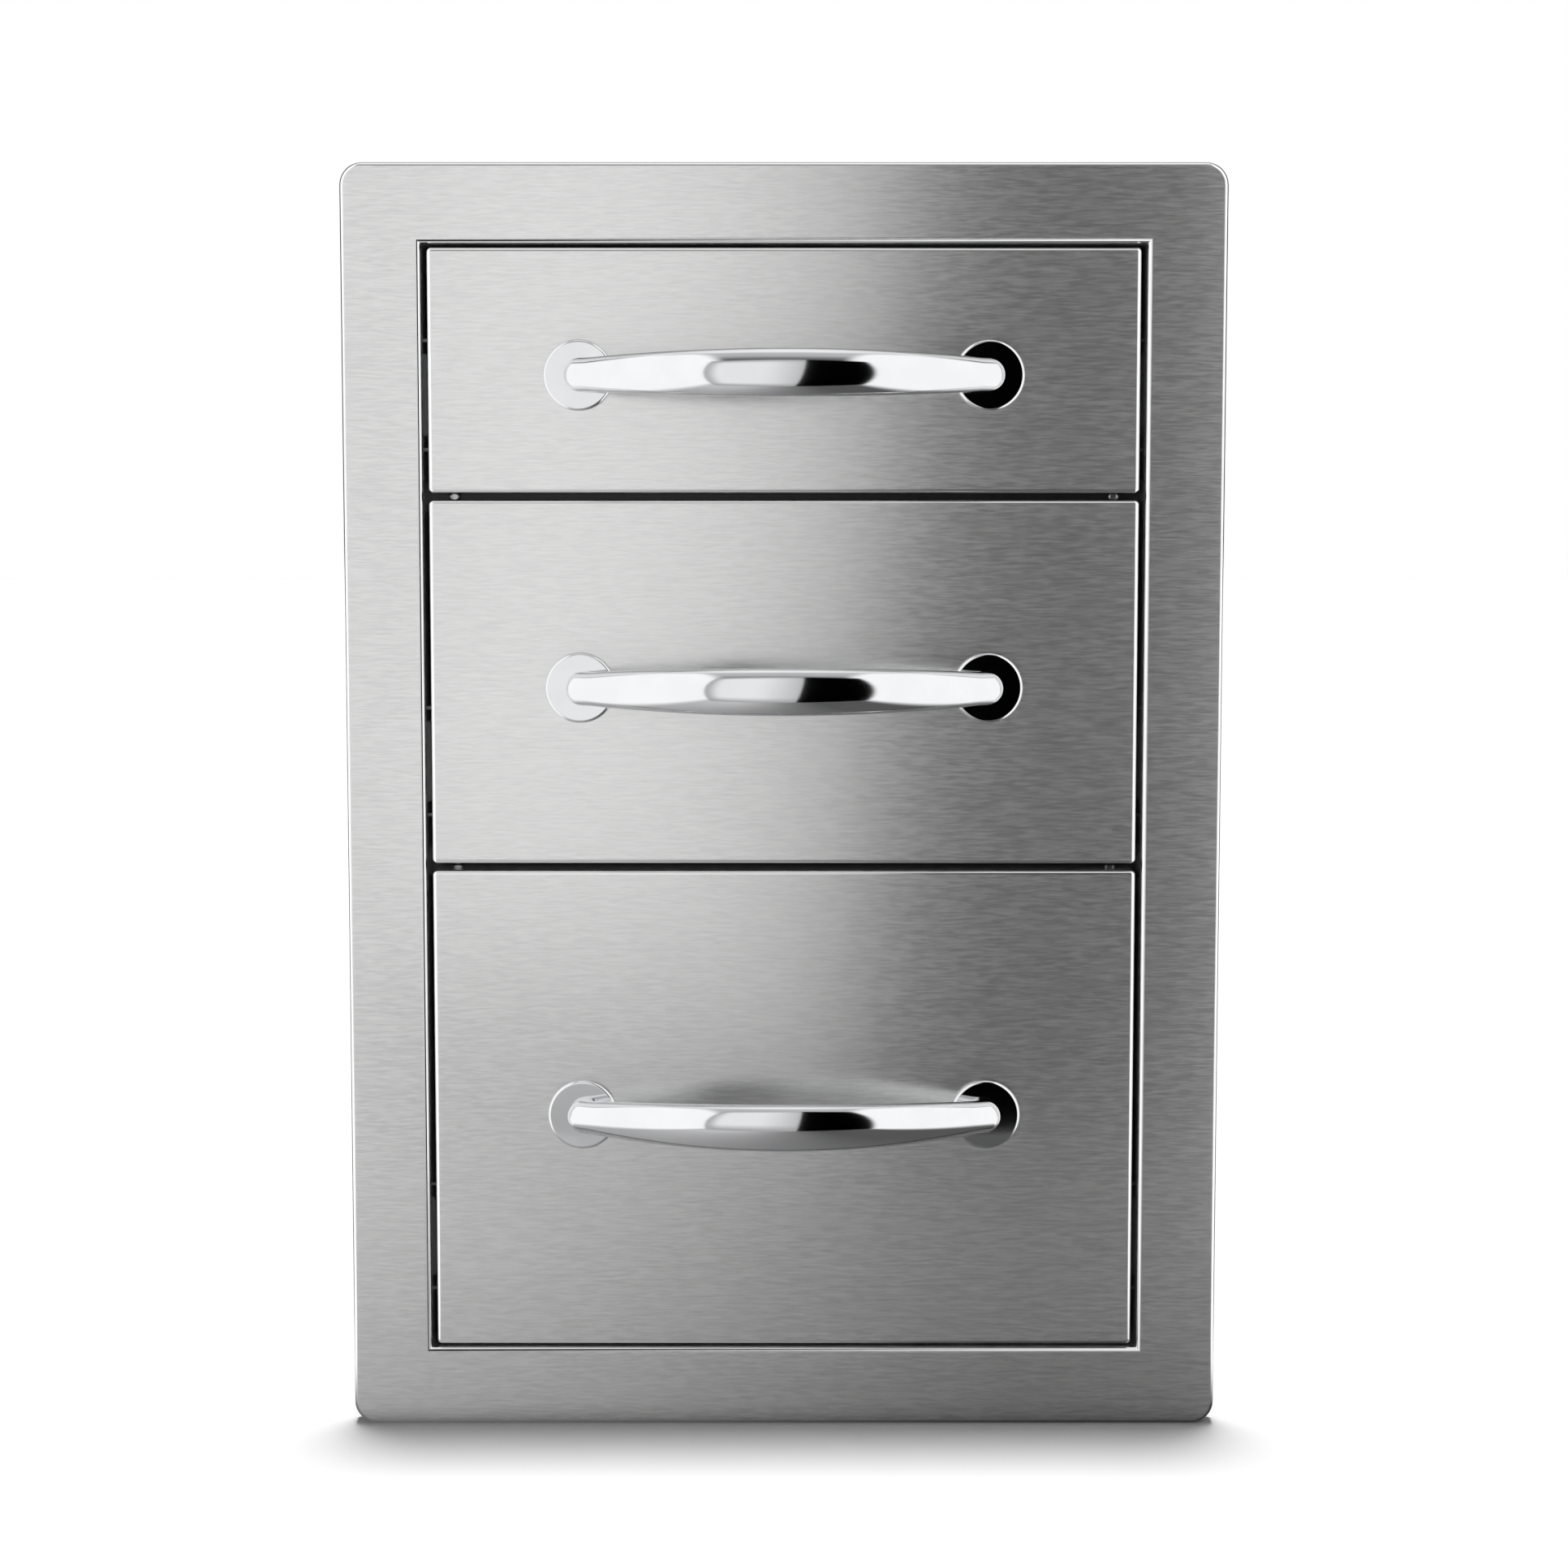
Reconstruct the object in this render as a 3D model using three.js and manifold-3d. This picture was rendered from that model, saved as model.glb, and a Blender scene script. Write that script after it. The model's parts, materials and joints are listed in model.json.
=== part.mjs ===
// Built-in triple drawer unit for an outdoor kitchen island.
// Units are millimetres. X runs to the right, Y runs into the island and Z runs up.
// The origin is the middle of the bottom rail's rear seat, in the plane of the island's face.

import * as THREE from "three";
import { mergeVertices } from "three/addons/utils/BufferGeometryUtils.js";
import Module from "manifold-3d";

const wasm = await Module();
wasm.setup();

// Fits and cuts
const seatGap = 0.3;
const overrun = 2;
const weldDistance = 0.001;

// Face frame
const frameWidth = 355.6;
const frameHeight = 515.5;
const frameRailWidth = 31.5;
const frameStandOff = 10;
const frameSheet = 1;
const frameFoldRadius = 1.7;
const frameCornerRadius = 9;
const seatLipWidth = 8;
const openingReturnDepth = 22;

// Drawer fronts
const topFrontHeight = 98;
const middleFrontHeight = 147.6;
const frontGap = 2.8;
const frontEndGap = 2.1;
const frontSideGap = 2.9;
const panDepth = 18;
const panSheet = 1;
const panFoldRadius = 1.2;
const panCornerRadius = 1.6;
const linerSheet = 0.8;
const linerRimDepth = 10;

// Drawer tubs
const tubSheet = 0.8;
const tubRise = 10;
const tubDrop = 22;
const tubHemHeight = 8;
const tubOverhang = 7;
const tubFoldRadius = 2.5;

// Housing
const housingSheet = 1;
const housingRearSpace = 52;
const topPanelSkirt = 16;
const backPanelRim = 12;

// Divider rails
const railHeight = 14;
const railDepth = 14;
const railSheet = 1.2;

// Slides
const slideLength = 508;
const slideThickness = 12.7;
const slideHeight = 45.6;
const slideSheet = 1.2;
const slideCentreRise = 30;
const slideSetback = 1;
const outerLipSetback = 1.7;
const middleLipSetback = 0.5;
const outerLipLength = 2.2;
const middleLipLength = 2;
const slideHoleDiameter = 4.6;
const slideHoleInset = 36;
const slideHoleCount = 3;

// Ball retainers
const cageSheet = 0.8;
const cageLength = 200;
const cageFlangeWidth = 7;
const innerCageFlangeWidth = 4.4;
const ballDiameter = 4;
const outerBallInset = 5.6;
const innerBallInset = 7;
const ballsPerRow = 3;

// Handles
const handleHoleSpacing = 165;
const handleDrop = 1.9;
const handleProjection = 29.5;
const handleRootHeight = 5.8;
const handleRootHalfHeight = 6.2;
const handleRootHalfThickness = 5.4;
const handleShoulderRadius = 6.4;
const handleMidHalfHeight = 9.5;
const handleMidHalfThickness = 4.8;
const handleTaperPowerShare = 0.85;

// Rosettes
const rosetteDiameter = 28.4;
const rosetteThickness = 2.4;
const rosetteFloor = 1;
const rosetteRim = 0.6;
const rosetteRecessGap = 0.5;
const rosetteRecessChamfer = 0.5;

// Handle screws
const screwDiameter = 3.5;
const screwHeadDiameter = 7;
const screwHeadHeight = 2.6;
const screwHeadEdge = 0.8;
const screwEngagement = 6.4;
const screwTipGap = 0.5;
const screwHoleClearance = 0.2;
const hexSocketWidth = 2.5;
const hexSocketDepth = 1.4;
const hexSocketSides = 6;

// Roundness of curved faces, in counts of flats
const foldSteps = 2;
const wideCornerSteps = 3;
const tightCornerSteps = 1;
const holeSides = 10;
const smallHoleSides = 8;
const rosetteSides = 24;
const screwSides = 12;
const postSides = 16;
const postRings = 8;
const handleSides = 16;
const handleSteps = 20;
const ballSides = 6;
const ballRings = 4;

// Places in the frame
const frameBottom = -(frameSheet + seatLipWidth) / 2;
const frameTop = frameBottom + frameHeight;
const frameFront = -frameStandOff;
const openingHalfWidth = frameWidth / 2 - frameRailWidth;
const openingBottom = frameBottom + frameRailWidth;
const openingTop = frameTop - frameRailWidth;
const openingReturnRear = frameFront + openingReturnDepth;

// Places in the housing
const housingHalfInside = openingHalfWidth + frameSheet + seatGap;
const housingFloor = openingBottom - frameSheet - seatGap;
const housingCeiling = openingTop + frameSheet + seatGap;
const housingFront = frameFront + frameSheet + seatGap;
const slideFront = openingReturnRear + slideSetback;
const slideRear = slideFront + slideLength;
const housingRear = slideRear + housingRearSpace;

// Places in the drawers
const frontHalfWidth = openingHalfWidth - frontSideGap;
const panRear = frameFront + panDepth;
const tubFront = panRear + seatGap;
const tubRear = slideRear + tubOverhang;
const slideFaceInside = housingHalfInside - seatGap - slideThickness;
const tubHalfWidth = slideFaceInside - seatGap;
const screwSeat = tubFront + tubSheet + seatGap;
const rosetteBack = frameFront - seatGap;
const postFoot = rosetteBack - rosetteFloor - seatGap;
const bottomFrontHeight = openingTop - openingBottom - 2 * frontEndGap - 2 * frontGap
  - topFrontHeight - middleFrontHeight;

// Fronts from the bottom up, each with the height of its lower edge
const bottomFrontFloor = openingBottom + frontEndGap;
const middleFrontFloor = bottomFrontFloor + bottomFrontHeight + frontGap;
const topFrontFloor = middleFrontFloor + middleFrontHeight + frontGap;
const drawers = [
  { name: "top", floor: topFrontFloor, height: topFrontHeight },
  { name: "middle", floor: middleFrontFloor, height: middleFrontHeight },
  { name: "bottom", floor: bottomFrontFloor, height: bottomFrontHeight },
];

// Finishes
const brushedSteel = { color: 0xb9babb, roughness: 0.34, metalness: 1 };
const millSteel = { color: 0xa9abad, roughness: 0.42, metalness: 1 };
const chrome = { color: 0xe4e5e8, roughness: 0.05, metalness: 1 };
const zincSteel = { color: 0x9da0a3, roughness: 0.4, metalness: 1 };
const retainerSteel = { color: 0x6f7377, roughness: 0.5, metalness: 1 };
const screwSteel = { color: 0xc4c5c8, roughness: 0.25, metalness: 1 };

// Solids and meshes

function toSolid(geometry) {
  const bare = geometry.clone();
  bare.deleteAttribute("normal");
  bare.deleteAttribute("uv");
  const welded = mergeVertices(bare, weldDistance);
  const corners = welded.index.array;
  const kept = [];
  for (let i = 0; i < corners.length; i += 3) {
    const [a, b, c] = [corners[i], corners[i + 1], corners[i + 2]];
    if (a !== b && b !== c && c !== a) kept.push(a, b, c);
  }
  return new wasm.Manifold(new wasm.Mesh({
    numProp: 3,
    vertProperties: new Float32Array(welded.attributes.position.array),
    triVerts: new Uint32Array(kept),
  }));
}

function toGeometry(solid) {
  const mesh = solid.getMesh();
  const geometry = new THREE.BufferGeometry();
  geometry.setAttribute("position", new THREE.BufferAttribute(mesh.vertProperties, 3));
  geometry.setIndex(new THREE.BufferAttribute(mesh.triVerts, 1));
  geometry.computeVertexNormals();
  return geometry;
}

function joined(solids) {
  return solids.reduce((whole, solid) => whole.add(solid));
}

function addPiece(parent, name, solid, finish) {
  const mesh = new THREE.Mesh(toGeometry(solid), new THREE.MeshStandardMaterial(finish));
  mesh.name = name;
  parent.add(mesh);
  return mesh;
}

// Basic shapes

function block(left, right, front, rear, bottom, top) {
  const geometry = new THREE.BoxGeometry(right - left, rear - front, top - bottom);
  geometry.translate((left + right) / 2, (front + rear) / 2, (bottom + top) / 2);
  return toSolid(geometry);
}

function rectangle(left, right, bottom, top, radius) {
  const outline = new THREE.Shape();
  outline.moveTo(left + radius, bottom);
  outline.lineTo(right - radius, bottom);
  outline.absarc(right - radius, bottom + radius, radius, -Math.PI / 2, 0, false);
  outline.lineTo(right, top - radius);
  outline.absarc(right - radius, top - radius, radius, 0, Math.PI / 2, false);
  outline.lineTo(left + radius, top);
  outline.absarc(left + radius, top - radius, radius, Math.PI / 2, Math.PI, false);
  outline.lineTo(left, bottom + radius);
  outline.absarc(left + radius, bottom + radius, radius, Math.PI, Math.PI * 1.5, false);
  return outline;
}

function sharpRectangle(left, right, bottom, top) {
  return new THREE.Shape([
    new THREE.Vector2(left, bottom),
    new THREE.Vector2(right, bottom),
    new THREE.Vector2(right, top),
    new THREE.Vector2(left, top),
  ]);
}

// A shape drawn in X and Z, carried along Y from front to rear, with its edges rounded by fold.
function prism(shape, front, rear, fold = 0, steps = tightCornerSteps) {
  const geometry = new THREE.ExtrudeGeometry(shape, {
    depth: rear - front - 2 * fold,
    curveSegments: steps,
    bevelEnabled: fold > 0,
    bevelThickness: fold,
    bevelSize: fold,
    bevelOffset: -fold,
    bevelSegments: foldSteps,
  });
  geometry.rotateX(Math.PI / 2);
  geometry.translate(0, rear - fold, 0);
  return toSolid(geometry);
}

// A round bar or hole along Y.
function rod(radius, front, rear, sides, x = 0, z = 0) {
  const geometry = new THREE.CylinderGeometry(radius, radius, rear - front, sides);
  geometry.translate(x, (front + rear) / 2, z);
  return toSolid(geometry);
}

// A round piece turned about Y, drawn as radius and distance towards the viewer.
function turned(points, sides) {
  const geometry = new THREE.LatheGeometry(points, sides);
  geometry.rotateX(Math.PI);
  return toSolid(geometry);
}

// Face frame

function frameOutline(inset) {
  const half = frameWidth / 2 - inset;
  const radius = Math.max(frameCornerRadius - inset, frameSheet);
  return rectangle(-half, half, frameBottom + inset, frameTop - inset, radius);
}

function openingOutline(outset) {
  const half = openingHalfWidth + outset;
  return sharpRectangle(-half, half, openingBottom - outset, openingTop + outset);
}

function frameRing(inset, outset, front, rear, fold = 0) {
  const shape = frameOutline(inset);
  shape.holes.push(openingOutline(outset));
  return prism(shape, front, rear, fold, wideCornerSteps);
}

// The rails and both returns are one folded sheet, with the seat lip turned in at the rear.
function faceFrame() {
  const insideFold = frameFoldRadius - frameSheet;
  const rearOfBlock = openingReturnRear + frameFoldRadius;
  const full = frameRing(0, 0, frameFront, rearOfBlock, frameFoldRadius);
  const hollow = frameRing(frameSheet, frameSheet, frameFront + frameSheet, -frameSheet, insideFold);
  const rearSlot = frameRing(frameSheet + seatLipWidth, frameSheet, -frameSheet - overrun, overrun);
  const behindSeat = frameRing(-overrun, frameSheet, 0, rearOfBlock + overrun);
  const half = frameWidth / 2 + overrun;
  const behindReturn = block(-half, half, openingReturnRear, rearOfBlock + overrun,
    frameBottom - overrun, frameTop + overrun);
  return full.subtract(hollow).subtract(rearSlot).subtract(behindSeat).subtract(behindReturn);
}

// Housing

// Both sides and the floor are one sheet folded to a U.
function housingWrap() {
  const outside = housingHalfInside + housingSheet;
  const floorUnderside = housingFloor - housingSheet;
  const inside = block(-housingHalfInside, housingHalfInside, housingFront - overrun,
    housingRear + overrun, housingFloor, housingCeiling + overrun);
  return block(-outside, outside, housingFront, housingRear, floorUnderside, housingCeiling)
    .subtract(inside);
}

// The top is a shallow lid whose skirts hang outside the wrap.
function housingTop() {
  const inside = housingHalfInside + housingSheet + seatGap;
  const outside = inside + housingSheet;
  const underside = housingCeiling + seatGap;
  const topFace = underside + housingSheet;
  const skirtFoot = topFace - topPanelSkirt;
  const hollow = block(-inside, inside, housingFront - overrun, housingRear + overrun,
    skirtFoot - overrun, underside);
  return block(-outside, outside, housingFront, housingRear, skirtFoot, topFace).subtract(hollow);
}

// The back is a tray set into the wrap, with its rim turned to the rear.
function housingBack() {
  const half = housingHalfInside - seatGap;
  const bottom = housingFloor + seatGap;
  const front = housingRear - backPanelRim;
  const hollow = block(-half + housingSheet, half - housingSheet, front + housingSheet,
    housingRear + overrun, bottom + housingSheet, housingCeiling - housingSheet);
  return block(-half, half, front, housingRear, bottom, housingCeiling).subtract(hollow);
}

// A divider rail is a channel, open to the rear and closed by a tab at each end.
function dividerRail() {
  const half = housingHalfInside - seatGap;
  const front = openingReturnRear + seatGap;
  const inside = block(-half + railSheet, half - railSheet, front + railSheet,
    front + railDepth + overrun, -railHeight / 2 + railSheet, railHeight / 2 - railSheet);
  return block(-half, half, front, front + railDepth, -railHeight / 2, railHeight / 2)
    .subtract(inside);
}

// Slides, drawn from the housing's face inwards and centred on Z

const outerHalfHeight = slideHeight / 2;
const outerBallHeight = outerHalfHeight - slideSheet - seatGap - ballDiameter / 2;
const middleHalfHeight = outerBallHeight - ballDiameter / 2 - seatGap;
const innerBallHeight = middleHalfHeight - slideSheet - seatGap - ballDiameter / 2;
const innerHalfHeight = innerBallHeight - ballDiameter / 2 - seatGap;
const outerCageFace = slideSheet + seatGap;
const middleFace = outerCageFace + cageSheet + seatGap;
const innerCageFace = middleFace + slideSheet + seatGap;
const innerFlangeTip = innerCageFace + cageSheet + seatGap;
const outerFlangeTip = slideThickness - outerLipSetback;
const middleFlangeTip = outerFlangeTip - middleLipSetback;

// A channel with its web at face, its flanges reaching to tip and lips turned in by lip.
function channel(face, tip, halfHeight, sheet, lip, length) {
  const turn = Math.sign(tip - face) * sheet;
  const corners = [
    [face, -halfHeight],
    [tip, -halfHeight],
    [tip, -halfHeight + lip],
    [tip - turn, -halfHeight + lip],
    [tip - turn, -halfHeight + sheet],
    [face + turn, -halfHeight + sheet],
    [face + turn, halfHeight - sheet],
    [tip - turn, halfHeight - sheet],
    [tip - turn, halfHeight - lip],
    [tip, halfHeight - lip],
    [tip, halfHeight],
    [face, halfHeight],
  ];
  const outline = corners.map(([x, z]) => new THREE.Vector2(x, z));
  return prism(new THREE.Shape(outline), 0, length);
}

function plainChannel(face, tip, halfHeight, sheet, length) {
  const turn = Math.sign(tip - face) * sheet;
  const corners = [
    [face, -halfHeight],
    [tip, -halfHeight],
    [tip, -halfHeight + sheet],
    [face + turn, -halfHeight + sheet],
    [face + turn, halfHeight - sheet],
    [tip, halfHeight - sheet],
    [tip, halfHeight],
    [face, halfHeight],
  ];
  const outline = corners.map(([x, z]) => new THREE.Vector2(x, z));
  return prism(new THREE.Shape(outline), 0, length);
}

// Screw holes through a slide's web, evenly spaced along it.
function slideHoles(face) {
  const step = (slideLength - 2 * slideHoleInset) / (slideHoleCount - 1);
  const holes = [];
  for (let i = 0; i < slideHoleCount; i += 1) {
    const reach = slideSheet + overrun;
    const geometry = new THREE.CylinderGeometry(slideHoleDiameter / 2, slideHoleDiameter / 2,
      reach, smallHoleSides);
    geometry.rotateZ(Math.PI / 2);
    geometry.translate(face, slideHoleInset + i * step, 0);
    holes.push(toSolid(geometry));
  }
  return joined(holes);
}

function outerMember() {
  return channel(0, outerFlangeTip, outerHalfHeight, slideSheet, outerLipLength, slideLength)
    .subtract(slideHoles(slideSheet / 2));
}

function middleMember() {
  return channel(middleFace, middleFlangeTip, middleHalfHeight, slideSheet, middleLipLength,
    slideLength);
}

function innerMember() {
  return plainChannel(slideThickness, innerFlangeTip, innerHalfHeight, slideSheet, slideLength)
    .subtract(slideHoles(slideThickness - slideSheet / 2));
}

// A retainer is a strip with both edges folded over, which hold the two rows of balls.
function ballCage(face, flangeWidth, ballInset, ballHeight) {
  const start = (slideLength - cageLength) / 2;
  const strip = plainChannel(face, face + flangeWidth, ballHeight + cageSheet / 2, cageSheet,
    cageLength);
  const pieces = [strip.translate([0, start, 0])];
  const pitch = cageLength / ballsPerRow;
  for (let i = 0; i < ballsPerRow; i += 1) {
    for (const side of [-1, 1]) {
      const ball = new THREE.SphereGeometry(ballDiameter / 2, ballSides, ballRings);
      ball.rotateX(Math.PI / 2);
      ball.translate(ballInset, start + (i + 1 / 2) * pitch, side * ballHeight);
      pieces.push(toSolid(ball));
    }
  }
  return joined(pieces);
}

// Drawer pieces, drawn with the front's lower edge at zero height

function frontOutline(height, inset) {
  const half = frontHalfWidth - inset;
  const radius = Math.max(panCornerRadius - inset, panSheet / 2);
  return rectangle(-half, half, inset, height - inset, radius);
}

function handleHeight(height) {
  return height / 2 - handleDrop;
}

// The two screw holes that run through pan, liner and tub.
function handleHoles(height) {
  const radius = screwDiameter / 2 + screwHoleClearance;
  const bores = [-1, 1].map((side) => rod(radius, frameFront - overrun, screwSeat + overrun,
    holeSides, side * handleHoleSpacing / 2, handleHeight(height)));
  return joined(bores);
}

function frontPan(height) {
  const rearOfBlock = panRear + panFoldRadius;
  const full = prism(frontOutline(height, 0), frameFront, rearOfBlock, panFoldRadius);
  const hollow = prism(frontOutline(height, panSheet), frameFront + panSheet,
    rearOfBlock + overrun, panFoldRadius - panSheet);
  const behind = block(-frontHalfWidth - overrun, frontHalfWidth + overrun, panRear,
    rearOfBlock + overrun, -overrun, height + overrun);
  return full.subtract(hollow).subtract(behind).subtract(handleHoles(height));
}

// The liner is a tray pushed into the pan from behind, with its rim turned forwards.
function frontLiner(height) {
  const outside = panSheet + seatGap;
  const front = panRear - linerRimDepth;
  const tray = prism(frontOutline(height, outside), front, panRear);
  const hollow = prism(frontOutline(height, outside + linerSheet), front - overrun,
    panRear - linerSheet);
  return tray.subtract(hollow).subtract(handleHoles(height));
}

// The tub is an open box with a hem folded in along its top edge.
function tub(height) {
  const top = height - tubDrop;
  const rear = tubRear;
  const half = tubHalfWidth;
  const wall = (inset, floor, roof) => {
    const outline = rectangle(-half + inset, half - inset, tubFront + inset, rear - inset,
      tubFoldRadius - inset);
    const geometry = new THREE.ExtrudeGeometry(outline, {
      depth: roof - floor,
      curveSegments: tightCornerSteps,
      bevelEnabled: false,
    });
    geometry.translate(0, 0, floor);
    return toSolid(geometry);
  };
  const outside = wall(0, tubRise, top);
  const belowHem = wall(tubSheet, tubRise + tubSheet, top - tubHemHeight);
  const insideHem = wall(2 * tubSheet, top - tubHemHeight - overrun, top + overrun);
  return outside.subtract(belowHem.add(insideHem)).subtract(handleHoles(height));
}

// Handle, drawn from the front's face and centred on its own height

// The bow's rise at x follows a parabola between the two roots.
function bowRise(x) {
  const share = x / (handleHoleSpacing / 2);
  return handleRootHeight + (handleProjection - handleRootHeight) * (1 - share * share);
}

function bowSlope(x) {
  const half = handleHoleSpacing / 2;
  return -2 * (handleProjection - handleRootHeight) * x / (half * half);
}

// How far the section at x has grown from its root towards its middle.
function bowGrowth(x) {
  const half = handleHoleSpacing / 2;
  const reach = Math.pow(1 - Math.abs(x) / half, handleTaperPowerShare);
  return reach * reach * (3 - 2 * reach);
}

function handleBow() {
  const bow = new THREE.CylinderGeometry(1, 1, 1, handleSides, handleSteps);
  const places = bow.attributes.position;
  for (let i = 0; i < places.count; i += 1) {
    const x = places.getY(i) * handleHoleSpacing;
    const growth = bowGrowth(x);
    const halfHeight = THREE.MathUtils.lerp(handleRootHalfHeight, handleMidHalfHeight, growth);
    const halfThickness = THREE.MathUtils.lerp(handleRootHalfThickness, handleMidHalfThickness,
      growth);
    const lean = Math.atan(bowSlope(x));
    const out = places.getX(i) * halfThickness;
    const shift = -Math.sin(lean) * out;
    const rise = bowRise(x) + Math.cos(lean) * out;
    places.setXYZ(i, x + shift, frameFront - rise, places.getZ(i) * halfHeight);
  }
  return toSolid(bow);
}

function handlePost(x) {
  const shoulder = new THREE.SphereGeometry(handleShoulderRadius, postSides, postRings);
  shoulder.translate(x, frameFront - handleRootHeight, 0);
  const neck = rod(handleShoulderRadius, frameFront - handleRootHeight, postFoot, postSides, x);
  return toSolid(shoulder).add(neck);
}

// The bow and its two posts are one casting, cut flat at the posts' feet and bored from there.
function handle() {
  const ends = [-handleHoleSpacing / 2, handleHoleSpacing / 2];
  const reach = handleHoleSpacing / 2 + handleShoulderRadius + overrun;
  const behindFeet = block(-reach, reach, postFoot, frameFront + handleShoulderRadius + overrun,
    -handleMidHalfHeight - overrun, handleMidHalfHeight + overrun);
  const boreEnd = postFoot - screwEngagement - screwTipGap;
  const bores = ends.map((x) => rod(screwDiameter / 2 + screwHoleClearance, boreEnd,
    postFoot + overrun, holeSides, x));
  return joined([handleBow(), ...ends.map(handlePost)]).subtract(behindFeet)
    .subtract(joined(bores));
}

function rosette() {
  const rim = rosetteDiameter / 2;
  const recess = handleShoulderRadius + rosetteRecessGap;
  const bore = screwDiameter / 2 + screwHoleClearance;
  const points = [
    [bore, 0],
    [rim, 0],
    [rim, rosetteThickness - rosetteRim],
    [rim - rosetteRim, rosetteThickness],
    [recess + rosetteRecessChamfer, rosetteThickness],
    [recess, rosetteThickness - rosetteRecessChamfer],
    [recess, rosetteFloor],
    [bore, rosetteFloor],
    [bore, 0],
  ].map(([radius, rise]) => new THREE.Vector2(radius, rise));
  return turned(points, rosetteSides);
}

// The screw stands with its head's seat at zero and its shank towards the viewer.
function handleScrew() {
  const head = screwHeadDiameter / 2;
  const shank = screwDiameter / 2;
  const length = screwSeat - postFoot + screwEngagement;
  const points = [
    [0, -screwHeadHeight],
    [head - screwHeadEdge, -screwHeadHeight],
    [head, -screwHeadHeight + screwHeadEdge],
    [head, 0],
    [shank, 0],
    [shank, length - screwTipGap],
    [shank - screwTipGap, length],
    [0, length],
  ].map(([radius, rise]) => new THREE.Vector2(radius, rise));
  const socket = rod(hexSocketWidth / Math.sqrt(3), screwHeadHeight - hexSocketDepth,
    screwHeadHeight + overrun, hexSocketSides);
  return turned(points, screwSides).subtract(socket);
}

// Assembly

const unit = new THREE.Group();

const cabinet = new THREE.Group();
unit.add(cabinet);
addPiece(cabinet, "face_frame", faceFrame(), brushedSteel);
addPiece(cabinet, "housing_wrap", housingWrap(), millSteel);
addPiece(cabinet, "housing_top", housingTop(), millSteel);
addPiece(cabinet, "housing_back", housingBack(), millSteel);
const upperRail = addPiece(cabinet, "upper_divider_rail", dividerRail(), millSteel);
upperRail.position.z = topFrontFloor - frontGap / 2;
const lowerRail = addPiece(cabinet, "lower_divider_rail", dividerRail(), millSteel);
lowerRail.position.z = middleFrontFloor - frontGap / 2;

// One slide with its members and ball retainers, seen from the housing's side face.
function addSlide(parent, name, x, z, turn) {
  const slide = new THREE.Group();
  slide.position.set(x, slideFront, z);
  slide.rotation.y = turn;
  parent.add(slide);
  addPiece(slide, `${name}_outer_member`, outerMember(), zincSteel);
  addPiece(slide, `${name}_outer_ball_cage`,
    ballCage(outerCageFace, cageFlangeWidth, outerBallInset, outerBallHeight), retainerSteel);
  addPiece(slide, `${name}_middle_member`, middleMember(), zincSteel);
  addPiece(slide, `${name}_inner_ball_cage`,
    ballCage(innerCageFace, innerCageFlangeWidth, innerBallInset, innerBallHeight),
    retainerSteel);
  addPiece(slide, `${name}_inner_member`, innerMember(), zincSteel);
}

for (const drawer of drawers) {
  const group = new THREE.Group();
  group.position.z = drawer.floor;
  unit.add(group);
  addPiece(group, `${drawer.name}_front_pan`, frontPan(drawer.height), brushedSteel);
  addPiece(group, `${drawer.name}_front_liner`, frontLiner(drawer.height), millSteel);
  addPiece(group, `${drawer.name}_tub`, tub(drawer.height), millSteel);

  const grip = new THREE.Group();
  grip.position.z = handleHeight(drawer.height);
  group.add(grip);
  addPiece(grip, `${drawer.name}_handle`, handle(), chrome);
  for (const [side, sign] of [["left", -1], ["right", 1]]) {
    const x = sign * handleHoleSpacing / 2;
    const disc = addPiece(grip, `${drawer.name}_${side}_rosette`, rosette(), chrome);
    disc.position.set(x, rosetteBack, 0);
    const screw = addPiece(grip, `${drawer.name}_${side}_handle_screw`, handleScrew(), screwSteel);
    screw.position.set(x, screwSeat, 0);
  }

  const slideX = housingHalfInside - seatGap;
  const slideZ = tubRise + slideCentreRise;
  addSlide(group, `${drawer.name}_left_slide`, -slideX, slideZ, 0);
  addSlide(group, `${drawer.name}_right_slide`, slideX, slideZ, Math.PI);
}

export default unit;
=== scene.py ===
"""Looks of the built-in drawer unit: steel frame and fronts, bow handles, ball slides and housing.

Every length is in metres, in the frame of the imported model: X to the right, Y to the rear and Z up.
"""

import json
import logging
import math
from dataclasses import dataclass
from enum import Enum
from functools import cache
from typing import Callable, Iterable, Optional, Union

import bmesh
import bpy
from mathutils import Matrix, Vector

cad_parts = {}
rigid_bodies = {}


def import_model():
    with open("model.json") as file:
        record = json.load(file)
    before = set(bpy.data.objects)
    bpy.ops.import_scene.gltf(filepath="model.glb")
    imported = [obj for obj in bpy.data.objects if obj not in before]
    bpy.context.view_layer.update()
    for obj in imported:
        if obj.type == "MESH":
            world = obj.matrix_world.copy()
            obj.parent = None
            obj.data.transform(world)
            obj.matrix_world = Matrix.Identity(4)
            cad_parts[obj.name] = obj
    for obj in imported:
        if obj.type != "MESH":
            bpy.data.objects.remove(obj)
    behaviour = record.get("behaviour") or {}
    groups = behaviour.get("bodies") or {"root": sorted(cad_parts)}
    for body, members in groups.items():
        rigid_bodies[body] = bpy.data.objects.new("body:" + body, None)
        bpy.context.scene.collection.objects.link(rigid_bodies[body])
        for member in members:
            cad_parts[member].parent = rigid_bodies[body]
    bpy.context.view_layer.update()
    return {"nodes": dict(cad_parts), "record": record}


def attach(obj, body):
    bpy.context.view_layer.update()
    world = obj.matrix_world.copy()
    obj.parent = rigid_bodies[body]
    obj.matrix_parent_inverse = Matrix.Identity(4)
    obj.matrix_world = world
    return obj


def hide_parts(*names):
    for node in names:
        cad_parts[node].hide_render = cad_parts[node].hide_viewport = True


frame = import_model()

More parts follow.
